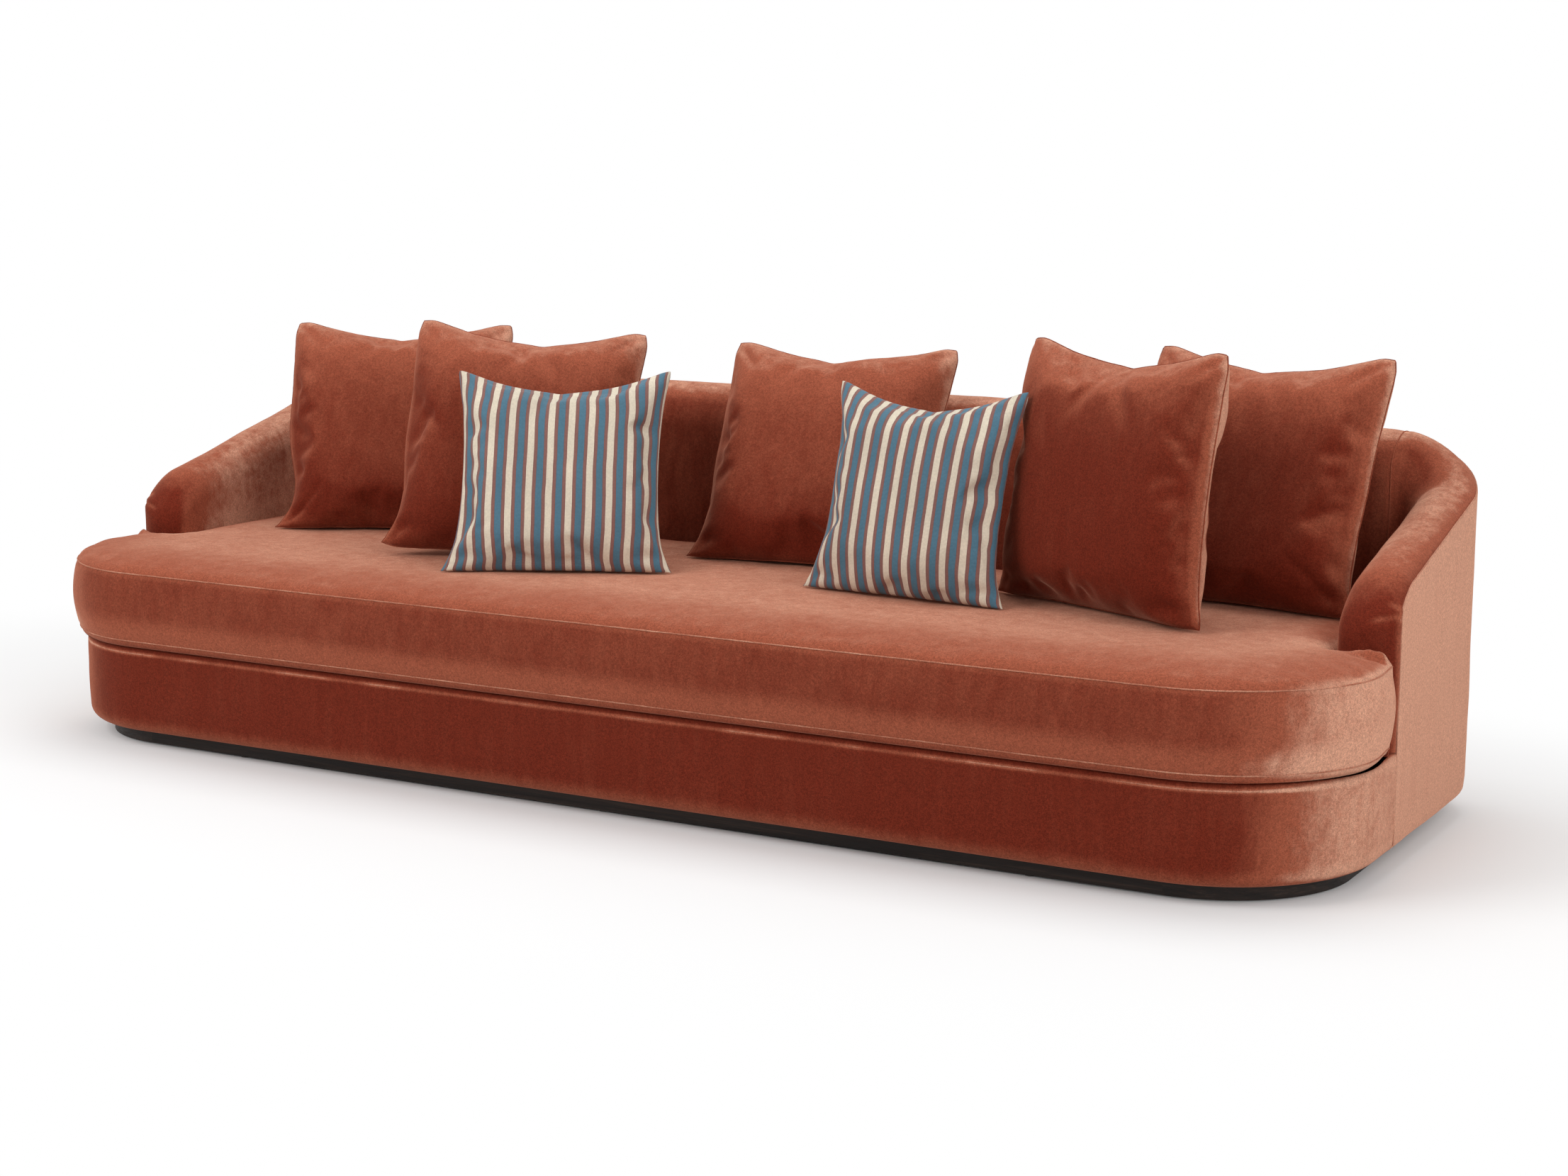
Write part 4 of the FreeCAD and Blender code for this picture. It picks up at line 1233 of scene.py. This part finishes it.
def cushion_nap_and_painted_light(place, normal, half):
    """How much paler a velvet cushion is: painted sheen round its rim, more so behind the seam, and painted
    light on its top.
    """
    # Painted sheen on the sides and round the rim, painted light on faces turned up and towards the top
    rim = max(abs(place.x), abs(place.z)) / half
    rear = blend_step(place.y, -0.004, 0.004)
    turned = (0.3 + 0.6 * rear) * blend_step(normal.x, 0.25, 0.85)
    turned += 0.3 * blend_step(-normal.x, 0.5, 0.95)
    turned *= blend_step(rim, 0.70, 0.92)
    upward = 0.5 * blend_step(normal.z, 0.1, 0.95) + 0.16 * blend_step(place.z / half, -0.1, 0.95)
    return min(1.0, upward + turned + 0.2 * blend_step(rim, 0.86, 0.99))


def dress_cushion(name, kind, foot, lean, turn, roll, waist, seed):
    """One loose cushion, its seam line, and its paler pile, which is mostly painted sheen and light."""
    size = sizes()
    in_velvet = kind == "velvet"
    side = {"velvet": size.velvet_size, "striped": size.striped_size, "wide striped": size.wide_striped}[kind]
    plump = size.velvet_plump if in_velvet else size.striped_plump
    piece, number, seam = flat_cushion(name + "_soft", side, gap=0.004, count=size.cushion_points)
    draw, corner, fullness, flare, sudden = CUSHION_FORMS[kind]
    # The slack leaves room for the filling, and the ease brings the seam out to the cover's full size
    slack, ease = 0.9, 0.010
    shaped(piece, side, plump * slack, draw, corner, fullness)
    blow_up(piece, seed, cap=0.026)
    plumped(piece, side + ease, plump, size.top_dent, flare, sudden, waist, seed)
    upright = [vertex.co.copy() for vertex in piece.data.vertices]
    lay_cloth(piece, number, size.cushion_points)
    stood(piece, side, foot, lean, turn, roll)
    piece.data.update()
    set_nap_and_painted_light(piece, [cushion_nap_and_painted_light(place, vertex.normal, side / 2)
                    for vertex, place in zip(piece.data.vertices, upright)])
    smooth = piece.modifiers.new("smooth", "SUBSURF")
    smooth.levels = smooth.render_levels = 1
    mesh = made_plain(piece, smooth, name + "_soft")
    path = [mesh.vertices[index].co.copy() for index in seam]
    if in_velvet:
        material, slot = velvet("velvet_cushion"), "velvet"
    else:
        material = bpy.data.materials.get("cushion_stripes") or striped_cloth("cushion_stripes", repeats=24.5)
        slot = "striped_cloth"
    mesh.materials.clear()
    mesh.materials.append(material)
    settled(piece, name, slot, name + "_cover", name + "_pad", fill=0.75)
    if in_velvet:
        sewn_seams(name + "_seam", [(path, True)], name, radius=0.0013, wander=0.0010,
                   material=velvet("velvet_piping"))


def dress_cushions():
    """All the loose cushions, each with folds of its own."""
    seed_step = 1.7
    for order, (name, form) in enumerate(LOOSE_CUSHIONS.items()):
        dress_cushion(name, *form, seed_step * order)


# Carried-over frame pieces

def finish_frame():
    """Procedural finishes for the pieces that keep their shape."""
    along_x = (2.0, 60.0, 60.0)
    along_y = (60.0, 2.0, 60.0)
    along_z = (60.0, 60.0, 2.0)
    round_corner = (14.0, 14.0, 90.0)
    timber = ((0.36, 0.23, 0.12), (0.58, 0.42, 0.25))
    finishes = {
        stained_wood("plinth_long", along_x): ("plinth_front_rail", "plinth_rear_rail"),
        stained_wood("plinth_short", along_y): ("plinth_left_rail", "plinth_right_rail"),
        stained_wood("plinth_corner", round_corner): (
            "plinth_front_left_corner", "plinth_front_right_corner",
            "plinth_rear_left_corner", "plinth_rear_right_corner"),
        plain_wood("timber_long", *timber, along_x): (
            "base_front_rail", "base_rear_rail", "back_top_rail"),
        plain_wood("timber_short", *timber, along_y): (
            "base_end_rails", "base_cross_rails", "arm_top_rails", "base_front_corner_formers",
            "base_rear_corner_formers"),
        plain_wood("timber_upright", *timber, along_z): (
            "arm_front_posts", "back_posts"),
        plain_wood("board", (0.40, 0.27, 0.15), (0.55, 0.40, 0.24), (6.0, 6.0, 70.0)): (
            "left_arm_board", "right_arm_board", "left_corner_board", "right_corner_board", "back_board"),
        coarse_cloth("webbing", (0.03, 0.03, 0.032), (0.10, 0.10, 0.105), 420.0): (
            "cross_straps", "long_straps"),
        coarse_cloth("dust_cloth", (0.008, 0.008, 0.009), (0.03, 0.03, 0.032), 300.0): ("dust_cover",),
        coarse_cloth("felt", (0.05, 0.045, 0.04), (0.13, 0.12, 0.11), 700.0): ("felt_glides",),
    }
    for material, names in finishes.items():
        for name in names:
            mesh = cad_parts[name].data
            mesh.materials.clear()
            mesh.materials.append(material)


# Stage

def area_light(name, place, aim, width, height, power):
    lamp = bpy.data.lights.new(name, "AREA")
    lamp.shape = "RECTANGLE"
    lamp.size, lamp.size_y = width, height
    lamp.energy = power
    light = placed(name, lamp)
    light.location = place
    light.rotation_euler = (Vector(aim) - Vector(place)).to_track_quat("-Z", "Y").to_euler()


def seen_white(tree, lit, shown):
    """Show one shader to the camera and to reflections, and another to the rest of the light."""
    path = tree.add("ShaderNodeLightPath").outputs
    seen = path["Is Camera Ray"]
    for name in ("Is Glossy Ray", "Is Transmission Ray"):
        seen = tree.add("ShaderNodeMath", {0: seen, 1: path[name]}, operation="MAXIMUM")
    return tree.add("ShaderNodeMixShader", {0: seen, 1: lit, 2: shown})


def set_floor():
    """A pale floor that fades to white away from the sofa."""
    reach = 30.0
    corners = [(-reach, -reach, 0), (reach, -reach, 0), (reach, reach, 0), (-reach, reach, 0)]
    finish = Finish("studio_floor")
    shader = finish.shader
    finish.feed((0.80, 0.80, 0.80, 1.0), shader.inputs["Base Color"])
    finish.feed(0.9, shader.inputs["Roughness"])
    glow = finish.add("ShaderNodeEmission", {"Color": WHITE, "Strength": 1.0})
    away = finish.add("ShaderNodeVectorMath", {0: finish.stretched((0.5, 1.0, 1.0))}, operation="LENGTH")
    far = finish.spread(away.outputs["Value"], 0.55, 1.5)
    lit = finish.add("ShaderNodeMixShader", {0: far, 1: shader, 2: glow})
    surface = finish.tree.nodes["Material Output"].inputs["Surface"]
    finish.feed(seen_white(finish, shader, lit), surface)
    new_piece("studio_floor", corners, [(0, 1, 2, 3)], finish.material)


def set_surroundings():
    """White to look at, and a softer white to light the sofa."""
    world = bpy.data.worlds.new("studio")
    bpy.context.scene.world = world
    world.use_nodes = True
    tree = Tree(world.node_tree)
    light = world.node_tree.nodes["Background"]
    tree.feed(WHITE, light.inputs["Color"])
    tree.feed(0.45, light.inputs["Strength"])
    white = tree.add("ShaderNodeBackground", {"Color": WHITE, "Strength": 1.0})
    tree.feed(seen_white(tree, light, white), world.node_tree.nodes["World Output"].inputs["Surface"])


def set_stage():
    """Pale floor, white surroundings, soft lamps and the camera at the photograph's angle."""
    set_floor()
    set_surroundings()
    area_light("key_light", (-2.6, -3.6, 3.6), (0.0, 0.0, 0.4), 3.0, 3.0, 150.0)
    area_light("fill_light", (4.0, -1.5, 2.4), (0.0, 0.0, 0.4), 3.0, 3.0, 70.0)
    area_light("top_light", (0.0, 0.6, 4.2), (0.0, 0.0, 0.0), 4.0, 2.5, 80.0)
    camera_data = bpy.data.cameras.new("photo_camera")
    camera_data.sensor_width = 36.0
    camera_data.lens = 60.13
    camera = placed("photo_camera", camera_data)
    camera.location = (2.7369, -4.5091, 1.2854)
    camera.rotation_euler = (math.radians(80.185), 0.0, math.radians(29.743))
    bpy.context.scene.camera = camera
    bpy.context.scene.view_settings.view_transform = "Standard"


# Operators and panel

class SofaStep:
    """What every step of the sofa does: run its functions in turn."""

    steps = ()

    def execute(self, context):
        for step in self.steps:
            step()
        return {"FINISHED"}


class SOFA_OT_stage(SofaStep, bpy.types.Operator):
    """Set up the floor, the light and the camera"""
    bl_idname = "sofa.stage"
    bl_label = "Set the stage"
    steps = (set_stage,)


class SOFA_OT_frame(SofaStep, bpy.types.Operator):
    """Give the plinth and the inner frame their finishes"""
    bl_idname = "sofa.frame"
    bl_label = "Finish plinth and frame"
    steps = (finish_frame,)


class SOFA_OT_base(SofaStep, bpy.types.Operator):
    """Cover the border and the seat deck"""
    bl_idname = "sofa.base"
    bl_label = "Cover border and deck"
    steps = (dress_border, dress_deck)


class SOFA_OT_back_and_arms(SofaStep, bpy.types.Operator):
    """Cover the back and arms in velvet"""
    bl_idname = "sofa.back_and_arms"
    bl_label = "Cover back and arms"
    steps = (dress_inside, dress_outside)


class SOFA_OT_bench(SofaStep, bpy.types.Operator):
    """Make the bench cushion and its seams"""
    bl_idname = "sofa.bench"
    bl_label = "Make bench cushion"
    steps = (dress_bench,)


class SOFA_OT_cushions(SofaStep, bpy.types.Operator):
    """Fill the loose cushions and stand them on the seat"""
    bl_idname = "sofa.cushions"
    bl_label = "Make loose cushions"
    steps = (dress_cushions,)


class SOFA_PT_panel(bpy.types.Panel):
    """Sizes, colours and steps of the sofa"""
    bl_idname = "SOFA_PT_panel"
    bl_label = "Sofa"
    bl_space_type = "VIEW_3D"
    bl_region_type = "UI"
    bl_category = "Sofa"

    def draw(self, context):
        for operator in OPERATORS:
            self.layout.operator(operator.bl_idname)
        for group in (context.scene.sofa_sizes, context.scene.sofa_colours):
            column = self.layout.column()
            for name in group.__annotations__:
                column.prop(group, name)


OPERATORS = (SOFA_OT_stage, SOFA_OT_frame, SOFA_OT_base, SOFA_OT_back_and_arms, SOFA_OT_bench,
             SOFA_OT_cushions)
CLASSES = (SofaSizes, SofaColours, *OPERATORS, SOFA_PT_panel)


def register():
    for item in CLASSES:
        bpy.utils.register_class(item)
    bpy.types.Scene.sofa_sizes = PointerProperty(type=SofaSizes)
    bpy.types.Scene.sofa_colours = PointerProperty(type=SofaColours)


def unregister():
    del bpy.types.Scene.sofa_colours
    del bpy.types.Scene.sofa_sizes
    for item in reversed(CLASSES):
        bpy.utils.unregister_class(item)


def main():
    register()
    bpy.ops.sofa.stage()
    bpy.ops.sofa.frame()
    bpy.ops.sofa.base()
    bpy.ops.sofa.back_and_arms()
    bpy.ops.sofa.bench()
    bpy.ops.sofa.cushions()


if __name__ == "__main__":
    main()
